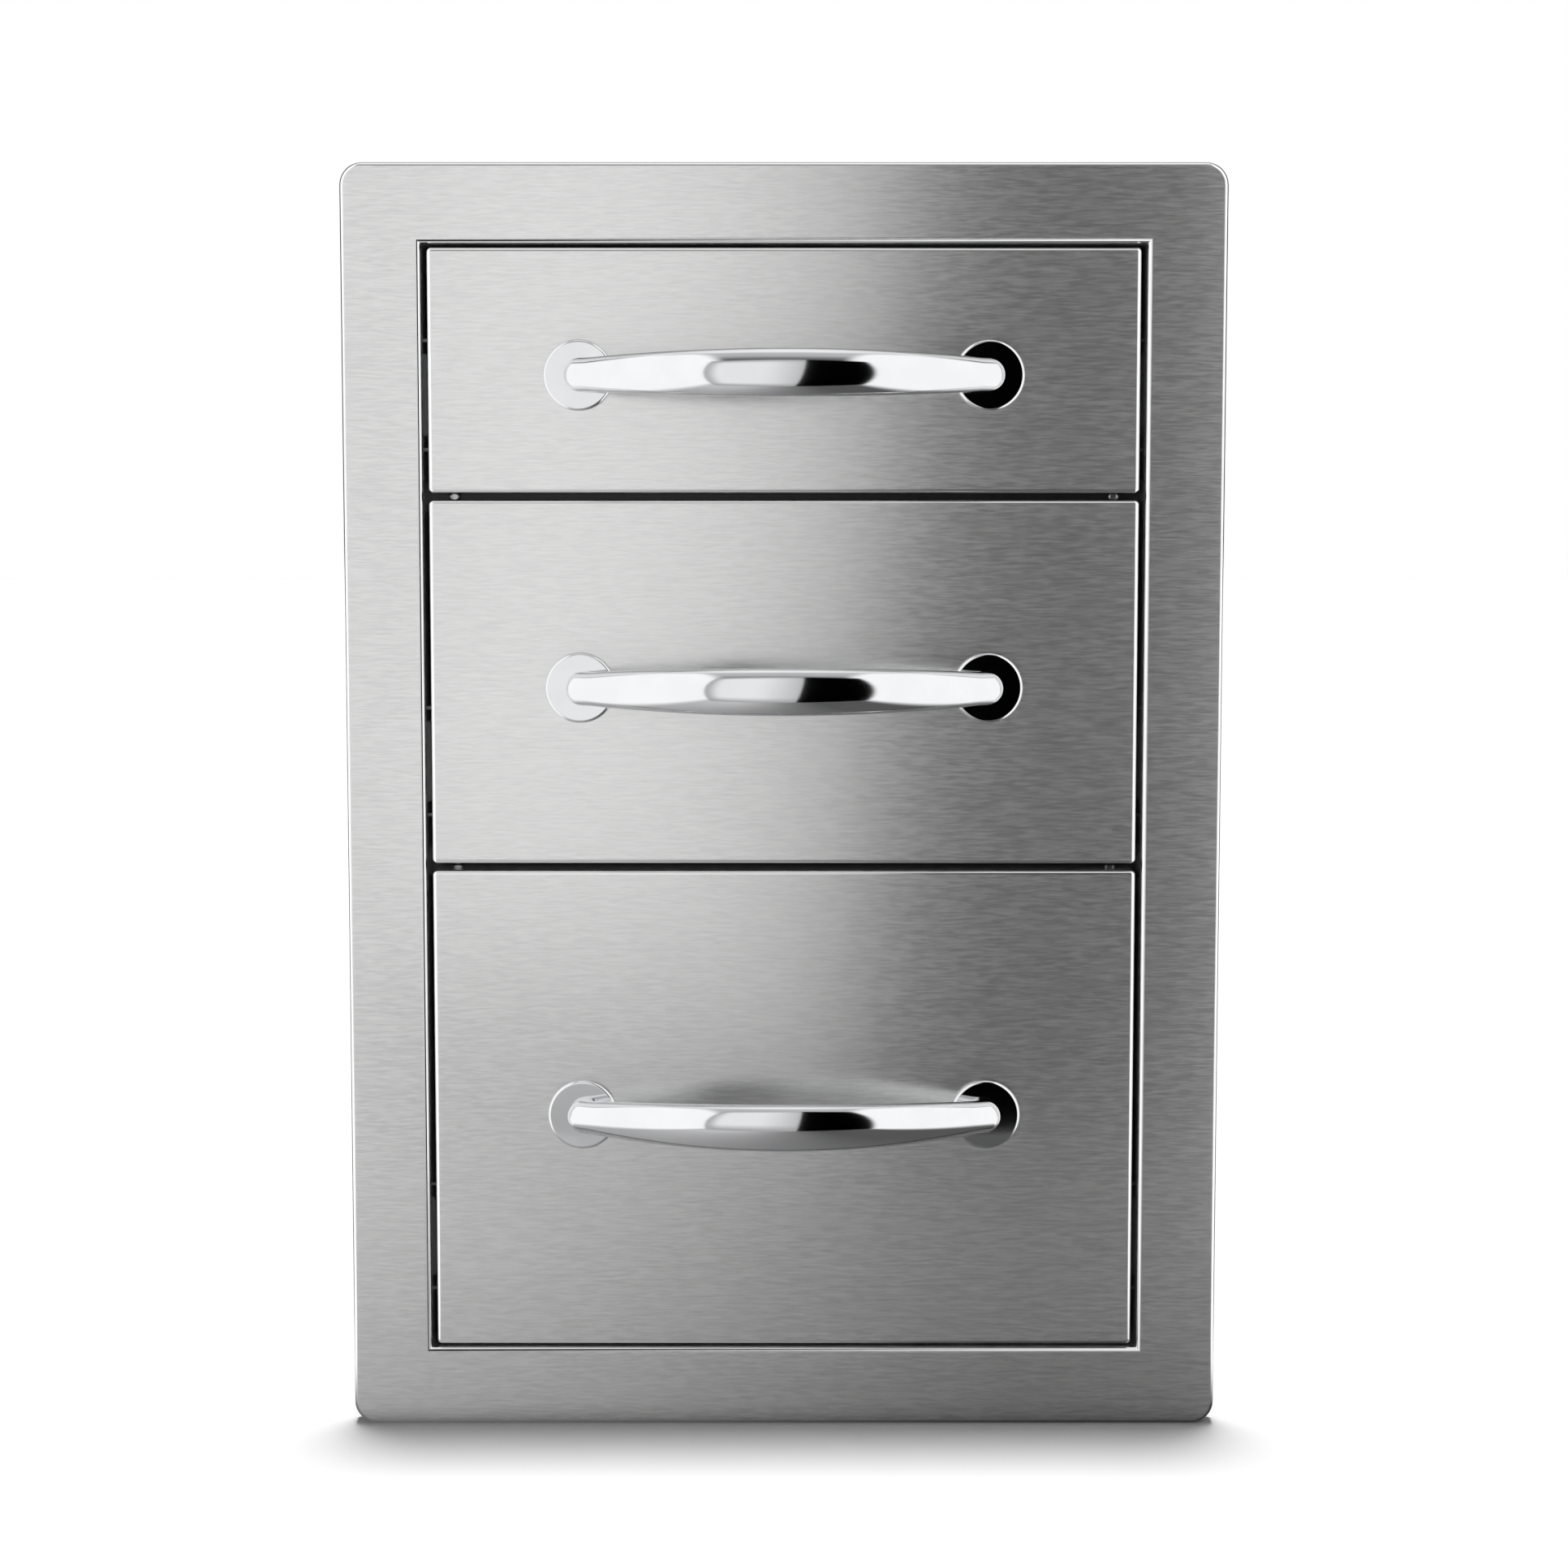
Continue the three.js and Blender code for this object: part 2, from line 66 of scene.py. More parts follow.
LOG = logging.getLogger("drawer_unit")
PHOTO_SIDE = 1932
MM = 0.001
NEAR = 1e-6  # Points that are nearer than this, in metres, are one point.
NEAR_DIGITS = 6  # The same as decimals of a metre.
FLAT = 0.999  # The least cosine between a flat wall's normal and the way that it faces.
FULL_TURN = 2 * math.pi
QUARTER_TURN = math.pi / 2
HEX_SIDES = 6
MIX_AMOUNT, MIX_FIRST, MIX_SECOND, MIX_RESULT = 0, 6, 7, 2  # A Mix node's sockets for colours.
HEAD_SHOULDER = ((0.62, 1.0), (0.82, 0.86), (0.95, 0.55), (1.0, 0.2))  # Shares of radius and height.

Number = Union[int, float, "Value"]
Pair = tuple[float, float]
Limits = Pair
ChannelShape = tuple[float, float, float, float]
Station = tuple[float, float, float, float, float]
Material = bpy.types.Material
Vert = bmesh.types.BMVert
Edge = bmesh.types.BMEdge
Face = bmesh.types.BMFace
Colour = tuple[float, float, float]
Place = tuple[float, float, float]


class Side(Enum):
    """The two sides of the unit, as seen from the front."""

    LEFT = "left"
    RIGHT = "right"

    @property
    def sign(self) -> int:
        """-1 on the left and 1 on the right."""
        return -1 if self is Side.LEFT else 1


class Way(Enum):
    """The six ways that a wall can face."""

    LEFT = (-1.0, 0.0, 0.0)
    RIGHT = (1.0, 0.0, 0.0)
    FRONT = (0.0, -1.0, 0.0)
    REAR = (0.0, 1.0, 0.0)
    DOWN = (0.0, 0.0, -1.0)
    UP = (0.0, 0.0, 1.0)


class Slot(Enum):
    """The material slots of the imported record."""

    FACE = "brushed_steel_face"
    SHEET = "plain_steel_sheet"
    CHROME = "polished_chrome"
    ZINC = "zinc_plated_steel"
    RETAINER = "retainer_steel"
    SCREW = "screw_steel"


# Shader maths


@dataclass(frozen=True)
class Value:
    """A number on a node socket that Python expressions can work on."""

    board: "ShaderBoard"
    socket: bpy.types.NodeSocket

    def __add__(self, other: Number) -> "Value":
        """Sum."""
        return self.board.math("ADD", self, other)

    def __radd__(self, other: Number) -> "Value":
        """Reflected sum."""
        return self.board.math("ADD", other, self)

    def __sub__(self, other: Number) -> "Value":
        """Difference."""
        return self.board.math("SUBTRACT", self, other)

    def __rsub__(self, other: Number) -> "Value":
        """Reflected difference."""
        return self.board.math("SUBTRACT", other, self)

    def __mul__(self, other: Number) -> "Value":
        """Product."""
        return self.board.math("MULTIPLY", self, other)

    def __rmul__(self, other: Number) -> "Value":
        """Reflected product."""
        return self.board.math("MULTIPLY", other, self)

    def __truediv__(self, other: Number) -> "Value":
        """Quotient."""
        return self.board.math("DIVIDE", self, other)

    def __abs__(self) -> "Value":
        """Size without sign."""
        return self.board.math("ABSOLUTE", self)

    def step(self, low: float, high: float) -> "Value":
        """Adds a smooth step from 0 to 1.

        Args:
            low: The value where it starts.
            high: The value where it ends.

        Returns:
            The step's result.
        """
        node = self.board.node(
            "ShaderNodeMapRange",
            {"interpolation_type": "SMOOTHSTEP"},
            {"Value": self, "From Min": low, "From Max": high},
        )
        return Value(self.board, node.outputs["Result"])


class ShaderBoard:
    """A node tree and the few ways in which this file adds nodes to it."""

    def __init__(self, tree: bpy.types.NodeTree) -> None:
        """Empties the tree.

        Args:
            tree: The material's or world's node tree.
        """
        self.tree = tree
        tree.nodes.clear()

    @classmethod
    def of_material(cls, name: str) -> tuple[Material, "ShaderBoard"]:
        """Makes an empty material.

        Args:
            name: The material's name.

        Returns:
            The material and the board of its nodes.
        """
        material = bpy.data.materials.new(name)
        material.use_nodes = True
        return material, cls(material.node_tree)

    def link(self, source: object, target: bpy.types.NodeSocket) -> None:
        """Links or sets one input socket.

        Args:
            source: A Value, an output socket, or a plain number, colour or vector.
            target: The input socket.
        """
        if isinstance(source, Value):
            source = source.socket
        if isinstance(source, bpy.types.NodeSocket):
            self.tree.links.new(source, target)
            return
        if isinstance(source, tuple) and target.type == "RGBA" and len(source) == 3:
            source = (*source, 1.0)
        target.default_value = source

    def node(self, kind: str, settings: dict[str, object], inputs: dict[object, object]) -> bpy.types.Node:
        """Adds one node.

        Args:
            kind: The node's type.
            settings: The node's own properties, set before its sockets are.
            inputs: Socket names or numbers, with the value or link of each.

        Returns:
            The new node.
        """
        made = self.tree.nodes.new(kind)
        for name, value in settings.items():
            setattr(made, name, value)
        for name, value in inputs.items():
            self.link(value, made.inputs[name])
        return made

    def math(self, operation: str, *operands: Number) -> Value:
        """Adds a Math node and gives its result."""
        made = self.node("ShaderNodeMath", {"operation": operation}, dict(enumerate(operands)))
        return Value(self, made.outputs[0])

    def noise(self, per_metre: Union[float, Place], detail: float = 2.0, fineness: float = 0.5) -> Value:
        """Adds noise on object coordinates.

        Args:
            per_metre: How many features there are to a metre, as one number or along each axis.
            detail: The noise's octaves.
            fineness: How strong the finer octaves are.

        Returns:
            The noise, from 0 to 1 around 0.5.
        """
        scale = per_metre if isinstance(per_metre, tuple) else (per_metre,) * 3
        place = self.node("ShaderNodeTexCoord", {}, {}).outputs["Object"]
        mapped = self.node("ShaderNodeMapping", {}, {"Vector": place, "Scale": scale})
        made = self.node(
            "ShaderNodeTexNoise",
            {"noise_dimensions": "3D"},
            {"Vector": mapped.outputs["Vector"], "Scale": 1.0, "Detail": detail, "Roughness": fineness},
        )
        return Value(self, made.outputs["Fac"])

    def axes(self, space: str = "Object") -> tuple[Value, Value, Value]:
        """Splits a coordinate.

        Args:
            space: The coordinate's name on its node.

        Returns:
            Its X, Y and Z.
        """
        place = self.node("ShaderNodeTexCoord", {}, {}).outputs[space]
        parts = self.node("ShaderNodeSeparateXYZ", {}, {"Vector": place}).outputs
        return Value(self, parts["X"]), Value(self, parts["Y"]), Value(self, parts["Z"])

    def normal_y(self) -> Value:
        """How far the surface looks to the rear: -1 for a front face, 0 for a side or an edge."""
        normal = self.node("ShaderNodeNewGeometry", {}, {}).outputs["Normal"]
        return Value(self, self.node("ShaderNodeSeparateXYZ", {}, {"Vector": normal}).outputs["Y"])

    def mix(self, amount: Number, first: object, second: object) -> bpy.types.NodeSocket:
        """Mixes two colours by an amount from 0 to 1."""
        inputs = {MIX_AMOUNT: amount, MIX_FIRST: first, MIX_SECOND: second}
        return self.node("ShaderNodeMix", {"data_type": "RGBA"}, inputs).outputs[MIX_RESULT]

    def bump(self, height: Value, distance: float) -> bpy.types.NodeSocket:
        """Turns a height in metres times distance into a normal."""
        made = self.node("ShaderNodeBump", {}, {"Height": height, "Distance": distance})
        return made.outputs["Normal"]

    def surface(self, shader: bpy.types.NodeSocket) -> None:
        """Ends a material's nodes in its output."""
        self.node("ShaderNodeOutputMaterial", {}, {"Surface": shader})


# Finishes


@dataclass(frozen=True)
class Finish:
    """What the finishes share: a name, two tones, the least roughness and the noise's octaves."""

    name: str
    tone: Colour
    shade: Colour
    roughness: float
    detail: float = 3.0

    def inputs(self, board: ShaderBoard) -> dict[str, object]:
        """Works out the finish on a board of nodes.

        Args:
            board: The material's nodes.

        Returns:
            The Principled shader's inputs, where Metallic may be left out.
        """
        raise NotImplementedError

    @cache
    def material(self) -> Material:
        """Makes the material, once for each finish.

        Returns:
            The material.
        """
        material, board = ShaderBoard.of_material(self.name)
        shader = board.node("ShaderNodeBsdfPrincipled", {}, {"Metallic": 1.0, **self.inputs(board)})
        board.surface(shader.outputs["BSDF"])
        return material


@dataclass(frozen=True)
class BrushedSteel(Finish):
    """Stainless sheet, brushed along the horizontal, as on the frame and fronts."""

    name: str = "brushed_steel"
    tone: Colour = (0.844, 0.846, 0.841)
    shade: Colour = (0.746, 0.748, 0.743)
    roughness: float = 0.205
    # Painted highlight: the folds take this paler tone, so that their edges shine brighter.
    fold_highlight_tone: Colour = (0.94, 0.94, 0.94)
    metallic: float = 0.79
    metallic_swing: float = 0.06
    roughness_swing: float = 0.03
    fold_roughness: float = 0.12
    anisotropy: float = 0.1
    grain_turns: float = 0.25
    grain_per_metre: Place = (170.0, 170.0, 1700.0)
    streaks_per_metre: Place = (80.0, 80.0, 760.0)
    clouds_per_metre: float = 9.0
    grain_share: float = 0.65
    grain_depth: float = 0.0000025
    contrast_limits: Limits = (0.34, 0.66)
    fold_starts: Limits = (0.1, 0.3)
    fold_ends: Limits = (0.955, 0.99)

    def inputs(self, board: ShaderBoard) -> dict[str, object]:
        """Brushes a grain that gives way on the folds to a smoother finish and a painted highlight: a paler
        tone that is fully metal.

        Args:
            board: The material's nodes.

        Returns:
            The shader's inputs.
        """
        grain = board.noise(self.grain_per_metre)
        streaks = board.noise(self.streaks_per_metre, self.detail)
        cloud = board.noise(self.clouds_per_metre)
        brush = grain * self.grain_share + streaks * (1 - self.grain_share)
        contrast = brush.step(*self.contrast_limits)
        facing = abs(board.normal_y())
        # The folds' mask: there the finish turns smoother and takes the painted highlight, a paler tone that
        # is fully metal.
        fold = facing.step(*self.fold_starts) * (1 - facing.step(*self.fold_ends))
        rough = self.roughness + (contrast + cloud) * self.roughness_swing
        metal = self.metallic + (0.5 - contrast) * self.metallic_swing
        return {
            "Base Color": board.mix(fold, board.mix(contrast, self.shade, self.tone), self.fold_highlight_tone),
            "Metallic": metal * (1 - fold) + fold,
            "Roughness": rough * (1 - fold) + self.fold_roughness * fold,
            "Anisotropic": self.anisotropy,
            "Anisotropic Rotation": self.grain_turns,
            "Normal": board.bump(brush, self.grain_depth),
        }


@dataclass(frozen=True)
class MillSheet(Finish):
    """Unpolished stainless sheet with faint rolling streaks and handling marks."""

    name: str = "mill_sheet"
    tone: Colour = (0.62, 0.625, 0.63)
    shade: Colour = (0.50, 0.505, 0.51)
    roughness: float = 0.31
    mottle_roughness: float = 0.08
    grit_roughness: float = 0.04
    streaks_per_metre: Place = (120.0, 5.0, 120.0)
    clouds_per_metre: float = 11.0
    cloud_detail: float = 4.0
    cloud_fineness: float = 0.6
    grit_per_metre: float = 1400.0
    grit_detail: float = 1.0
    mottle_limits: Limits = (0.35, 0.65)
    cloud_height: float = 3.0
    relief: float = 0.00001

    def inputs(self, board: ShaderBoard) -> dict[str, object]:
        """Lays streaks, clouds and grit over one another.

        Args:
            board: The material's nodes.

        Returns:
            The shader's inputs.
        """
        streaks = board.noise(self.streaks_per_metre, self.detail)
        cloud = board.noise(self.clouds_per_metre, self.cloud_detail, self.cloud_fineness)
        grit = board.noise(self.grit_per_metre, self.grit_detail)
        mottle = ((streaks + cloud) / 2).step(*self.mottle_limits)
        return {
            "Base Color": board.mix(mottle, self.shade, self.tone),
            "Roughness": self.roughness + mottle * self.mottle_roughness + grit * self.grit_roughness,
            "Normal": board.bump(grit + cloud * self.cloud_height, self.relief),
        }


@dataclass(frozen=True)
class PolishedChrome(Finish):
    """Bright chrome with a trace of polishing haze."""

    name: str = "polished_chrome"
    tone: Colour = (0.815, 0.818, 0.83)
    shade: Colour = (0.785, 0.79, 0.805)
    roughness: float = 0.05
    haze_roughness: float = 0.02
    scratch_roughness: float = 0.01
    haze_per_metre: float = 60.0
    scratches_per_metre: float = 900.0
    haze_limits: Limits = (0.35, 0.65)
    relief: float = 0.0000004

    def inputs(self, board: ShaderBoard) -> dict[str, object]:
        """Lays haze and fine scratches over the mirror.

        Args:
            board: The material's nodes.

        Returns:
            The shader's inputs.
        """
        haze = board.noise(self.haze_per_metre, self.detail)
        scratches = board.noise(self.scratches_per_metre)
        return {
            "Base Color": board.mix(haze.step(*self.haze_limits), self.shade, self.tone),
            "Roughness": self.roughness + haze * self.haze_roughness + scratches * self.scratch_roughness,
            "Normal": board.bump(scratches, self.relief),
        }


@dataclass(frozen=True)
class ZincPlate(Finish):
    """Zinc-plated steel: a cool grey with pale and straw patches and drawing lines along its length."""

    name: str = "zinc_plate"
    tone: Colour = (0.48, 0.48, 0.45)
    shade: Colour = (0.50, 0.52, 0.55)
    roughness: float = 0.29
    line_roughness: float = 0.09
    patches_per_metre: float = 26.0
    lines_per_metre: Place = (900.0, 6.0, 900.0)
    patch_limits: Limits = (0.42, 0.62)
    relief: float = 0.000008

    def inputs(self, board: ShaderBoard) -> dict[str, object]:
        """Mixes the patches and draws the lines.

        Args:
            board: The material's nodes.

        Returns:
            The shader's inputs.
        """
        patches = board.noise(self.patches_per_metre, self.detail)
        lines = board.noise(self.lines_per_metre)
        return {
            "Base Color": board.mix(patches.step(*self.patch_limits), self.shade, self.tone),
            "Roughness": self.roughness + lines * self.line_roughness,
            "Normal": board.bump(lines + patches, self.relief),
        }


@dataclass(frozen=True)
class TurnedSteel(Finish):
    """Small turned or pressed steel parts: screws, rivets, balls and retainers."""

    name: str = "turned_steel"
    tone: Colour = (0.66, 0.66, 0.66)
    shade: Colour = (0.52, 0.52, 0.53)
    roughness: float = 0.20
    wear_roughness: float = 0.1
    wear_per_metre: float = 420.0
    wear_limits: Limits = (0.35, 0.65)
    relief: float = 0.000006

    def inputs(self, board: ShaderBoard) -> dict[str, object]:
        """Wears the surface.

        Args:
            board: The material's nodes.

        Returns:
            The shader's inputs.
        """
        wear = board.noise(self.wear_per_metre, self.detail)
        return {
            "Base Color": board.mix(wear.step(*self.wear_limits), self.shade, self.tone),
            "Roughness": self.roughness + wear * self.wear_roughness,
            "Normal": board.bump(wear, self.relief),
        }


SLOT_FINISHES: dict[Slot, Finish] = {
    Slot.FACE: BrushedSteel(),
    Slot.SHEET: MillSheet(),
    Slot.CHROME: PolishedChrome(),
    Slot.ZINC: ZincPlate(),
    Slot.RETAINER: TurnedSteel(
        name="retainer_steel", tone=(0.50, 0.51, 0.53), shade=(0.40, 0.41, 0.43), roughness=0.26
    ),
    Slot.SCREW: TurnedSteel("screw_steel"),
}
# Painted shade: a near-black sheet for the divider channels, so that the gaps between the drawers read dark.
RAIL_SHADE_SHEET = MillSheet(
    name="rail_sheet_painted_shade", tone=(0.085, 0.085, 0.088), shade=(0.06, 0.06, 0.063), roughness=0.37
)


# Mesh work


@dataclass(frozen=True)
class RoundHead:
    """The head of a screw or rivet, turned about its own axis, with a round socket where it has one."""

    radius: float
    height: float
    socket_radius: float = 0.0
    socket_depth: float = 0.0
    sink: float = 0.1 * MM
    steps: int = 20

    def profile(self) -> list[Pair]:
        """Draws the head's outline.

        Returns:
            Corners as radius and height above the seat, from the crown to the seat's middle.
        """
        top = self.height
        crown = [(0.0, top)]
        if self.socket_radius:
            floor = top - self.socket_depth
            crown = [(0.0, floor), (self.socket_radius, floor), (self.socket_radius, top)]
        rim = [(self.radius * out, top * up) for out, up in HEAD_SHOULDER]
        return crown + rim + [(self.radius, -self.sink), (0.0, -self.sink)]


class Workpiece:
    """One piece while it is being made, on a bmesh in the unit's own frame."""

    BEAD_ROUNDING = 0.35  # A bead's rounding as a share of its slope.
    BEAD_STEPS = 2
    FOLD_STEPS = 4
    FLAT_WEIGHT = 90  # How much the wide faces decide the normals.

    def __init__(self) -> None:
        """Starts with an empty mesh."""
        self.bm = bmesh.new()

    def rectangle(self, width: float, height: float) -> None:
        """Adds a flat rectangle in X and Z at Y zero, facing the front.

        Args:
            width: Its size along X.
            height: Its size along Z.
        """
        made = bmesh.ops.create_grid(self.bm, x_segments=1, y_segments=1, size=0.5)["verts"]
        turn = Matrix.Rotation(QUARTER_TURN, 4, "X")
        bmesh.ops.transform(self.bm, matrix=turn @ Matrix.Diagonal((width, height, 1, 1)), verts=made)

    def line(self, points: Iterable[Place], closed: bool = False) -> list[Edge]:
        """Adds a chain of edges.

        Args:
            points: The corners in order.
            closed: True where the last corner joins the first.

        Returns:
            The edges in order.
        """
        corners = [self.bm.verts.new(point) for point in points]
        ends = corners[1:] + (corners[:1] if closed else [])
        return [self.bm.edges.new(pair) for pair in zip(corners, ends)]

    def faces_where(self, test: Callable[[Face], bool]) -> list[Face]:
        """The faces that pass a test."""
        return [face for face in self.bm.faces if test(face)]

    def edges_where(self, test: Callable[[Edge], bool]) -> list[Edge]:
        """The edges that pass a test."""
        return [edge for edge in self.bm.edges if test(edge)]

    def delete(self, faces: list[Face]) -> None:
        """Removes faces and what only they used."""
        bmesh.ops.delete(self.bm, geom=faces, context="FACES")

    def extrude(self, edges: list[Edge]) -> tuple[list[Vert], list[Edge]]:
        """Starts a wall on some edges.

        Args:
            edges: The edges that it starts from.

        Returns:
            The new vertices and the new edges, which lie where the old ones are.
        """
        made = bmesh.ops.extrude_edge_only(self.bm, edges=edges)["geom"]
        verts = [item for item in made if isinstance(item, Vert)]
        return verts, [item for item in made if isinstance(item, Edge)]

    def move_out(self, edges: list[Edge], shift: Place, scale: Place = (1, 1, 1),
                 centre: Place = (0, 0, 0)) -> list[Vert]:
        """Pulls a wall out of some edges.

        Args:
            edges: The edges that the wall starts from.
            shift: How far the new edges move.
            scale: How much they scale.
            centre: The point that they scale about.

        Returns:
            The new edges' vertices.
        """
        verts, _ = self.extrude(edges)
        about = Matrix.Translation(-Vector(centre))
        bmesh.ops.scale(self.bm, vec=scale, space=about, verts=verts)
        bmesh.ops.translate(self.bm, vec=shift, verts=verts)
        return verts

    def round_edges(self, edges: list[Edge], radius: float, steps: int) -> None:
        """Rounds edges with a bevel of some steps."""
        bmesh.ops.bevel(self.bm, geom=edges, offset=radius, segments=steps, profile=0.5,
                        affect="EDGES", material=-1)

    def round_corners(self, verts: list[Vert], radius: float, steps: int) -> None:
        """Rounds the corners of a flat outline or a chain of edges."""
        bmesh.ops.bevel(self.bm, geom=verts, offset=radius, segments=steps, profile=0.5,
                        affect="VERTICES", material=-1)

    def cut(self, place: Place, direction: Place) -> None:
        """Splits every face that a plane crosses."""
        everything = [*self.bm.verts, *self.bm.edges, *self.bm.faces]
        bmesh.ops.bisect_plane(self.bm, geom=everything, plane_co=place, plane_no=direction, dist=NEAR)

    def outwards(self) -> None:
        """Turns all faces outwards."""
        bmesh.ops.recalc_face_normals(self.bm, faces=list(self.bm.faces))

    def thicken(self, sheet: float) -> None:
        """Gives a sheet its thickness, on the inner side."""
        bmesh.ops.solidify(self.bm, geom=list(self.bm.faces), thickness=sheet)

    def turn(self, profile: list[Pair], centre: Place, axis: Place, steps: int,
             closed: bool = True) -> None:
        """Turns a profile about an axis.

        Args:
            profile: Corners as radius and height along the axis, in order.
            centre: Where height zero is on the axis.
            axis: The axis, along X or Y, with the sign of rising height.
            steps: Steps in the full turn.
            closed: False for a profile that starts and ends on the axis.
        """
        start = Vector(centre)
        up = Vector(axis)
        out = Vector((0, 0, 1))
        edges = self.line([start + out * radius + up * height for radius, height in profile], closed)
        profile_verts = list({vert for edge in edges for vert in edge.verts})
        bmesh.ops.spin(self.bm, geom=profile_verts + edges, cent=start, axis=up,
                       angle=FULL_TURN, steps=steps, use_merge=True)
        bmesh.ops.remove_doubles(self.bm, verts=list(self.bm.verts), dist=NEAR)

    def folded_box(self, low: Place, high: Place, open_ways: Iterable[Way], fold_radius: float,
                   steps: int = FOLD_STEPS) -> None:
        """Folds a sheet into a box that is open on some sides.

        Args:
            low: The outer lowest corner.
            high: The outer highest corner.
            open_ways: The sides that have no wall.
            fold_radius: The folds' outer radius.
            steps: Steps in each fold.
        """
        size = Vector(high) - Vector(low)
        centre = (Vector(low) + Vector(high)) / 2
        matrix = Matrix.Translation(centre) @ Matrix.Diagonal((*size, 1))
        bmesh.ops.create_cube(self.bm, size=1.0, matrix=matrix)
        self.bm.normal_update()
        gone = [Vector(way.value) for way in open_ways]
        self.delete(self.faces_where(lambda face: any(face.normal.dot(way) > FLAT for way in gone)))
        self.round_edges(self.edges_where(lambda edge: not edge.is_boundary), fold_radius, steps)

    def press(self, way: Way, beads: Iterable[tuple[Place, Place]], depth: float, slope: float) -> None:
        """Presses long beads out of a flat wall, before the wall gets its thickness.

        Args:
            way: The way that the wall faces.
            beads: The lowest and highest corner of each, where only the numbers along the wall count.
            depth: How far the beads stand out of the wall.
            slope: How wide their sloping edges are.
        """
        out = Vector(way.value)
        spans = [axis for axis in range(3) if not out[axis]]

        def wall() -> list[Face]:
            """The flat faces of this wall."""
            self.bm.normal_update()
            return self.faces_where(lambda face: face.normal.dot(out) > FLAT)

        for axis in spans:
            across = Vector((0.0, 0.0, 0.0))
            across[axis] = 1.0
            for limit in sorted({round(corner[axis], NEAR_DIGITS) for bead in beads for corner in bead}):
                faces = wall()
                geom = [*faces, *{edge for face in faces for edge in face.edges},
                        *{vert for face in faces for vert in face.verts}]
                bmesh.ops.bisect_plane(self.bm, geom=geom, plane_co=across * limit, plane_no=across,
                                       dist=NEAR)
        slopes = []
        for low, high in beads:
            inside = [face for face in wall() if all(
                low[axis] < face.calc_center_median()[axis] < high[axis] for axis in spans)]
            slopes += bmesh.ops.inset_region(self.bm, faces=inside, thickness=slope, depth=depth,
                                             use_even_offset=True)["faces"]
        rims = list({edge for face in slopes for edge in face.edges})
        self.round_edges(rims, self.BEAD_ROUNDING * slope, self.BEAD_STEPS)

    def face_towards(self, way: Place) -> None:
        """Turns a sheet over where its widest face looks the wrong way.

        Args:
            way: The way that it has to look.
        """
        self.outwards()
        widest = max(self.bm.faces, key=lambda face: face.calc_area())
        if widest.normal.dot(Vector(way)) < 0:
            bmesh.ops.reverse_faces(self.bm, faces=list(self.bm.faces))

    def heads(self, head: RoundHead, places: Iterable[Place], way: Place) -> None:
        """Adds one screw or rivet head at each place, rising along way."""
        for place in places:
            self.turn(head.profile(), place, way, head.steps, closed=False)

    def stand(self, name: str, material: Material) -> bpy.types.Object:
        """Ends the mesh work and puts the mesh into the scene.

        Args:
            name: The object's name.
            material: The object's material.

        Returns:
            The object.
        """
        mesh = bpy.data.meshes.new(name)
        self.bm.to_mesh(mesh)
        self.bm.free()
        mesh.materials.append(material)
        piece = bpy.data.objects.new(name, mesh)
        bpy.context.scene.collection.objects.link(piece)
        return piece

    def finish(self, name: str, body: str, slot: Slot, stands_for: Iterable[str] = (),
               sharp: float = 32.0, look: Optional[Finish] = None) -> bpy.types.Object:
        """Makes the object, dresses it and hands it to its body.

        Args:
            name: The piece's name.
            body: The CAD body that it rides on.
            slot: The record's slot that it takes its finish from.
            stands_for: CAD nodes that it replaces.
            sharp: The angle in degrees past which an edge stays sharp.
            look: A finish of its own in place of the slot's common one; the divider channels take a
                near-black one, painted shade.

        Returns:
            The finished piece.
        """
        self.outwards()
        for face in self.bm.faces:
            face.smooth = True
        limit = math.radians(sharp)
        for edge in self.bm.edges:
            edge.smooth = len(edge.link_faces) == 2 and edge.calc_face_angle(0.0) < limit
        piece = self.stand(name, (look or SLOT_FINISHES[slot]).material())
        weighted = piece.modifiers.new("flat_faces_first", "WEIGHTED_NORMAL")
        weighted.keep_sharp = True
        weighted.weight = self.FLAT_WEIGHT
        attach(piece, body)
        if stands_for:
            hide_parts(*stands_for)
        LOG.info("%s: %d faces on %s", name, len(piece.data.polygons), body)
        return piece


def blend(start: float, end: float, share: float) -> float:
    """Smoothly goes from one number to another.

    Args:
        start: The number at share 0.
        end: The number at share 1.
        share: How far to go, where less than 0 is 0 and more than 1 is 1.

    Returns:
        The number in between.
    """
    share = min(max(share, 0.0), 1.0)
    eased = share * share * (3 - 2 * share)
    return start + (end - start) * eased


# Cabinet


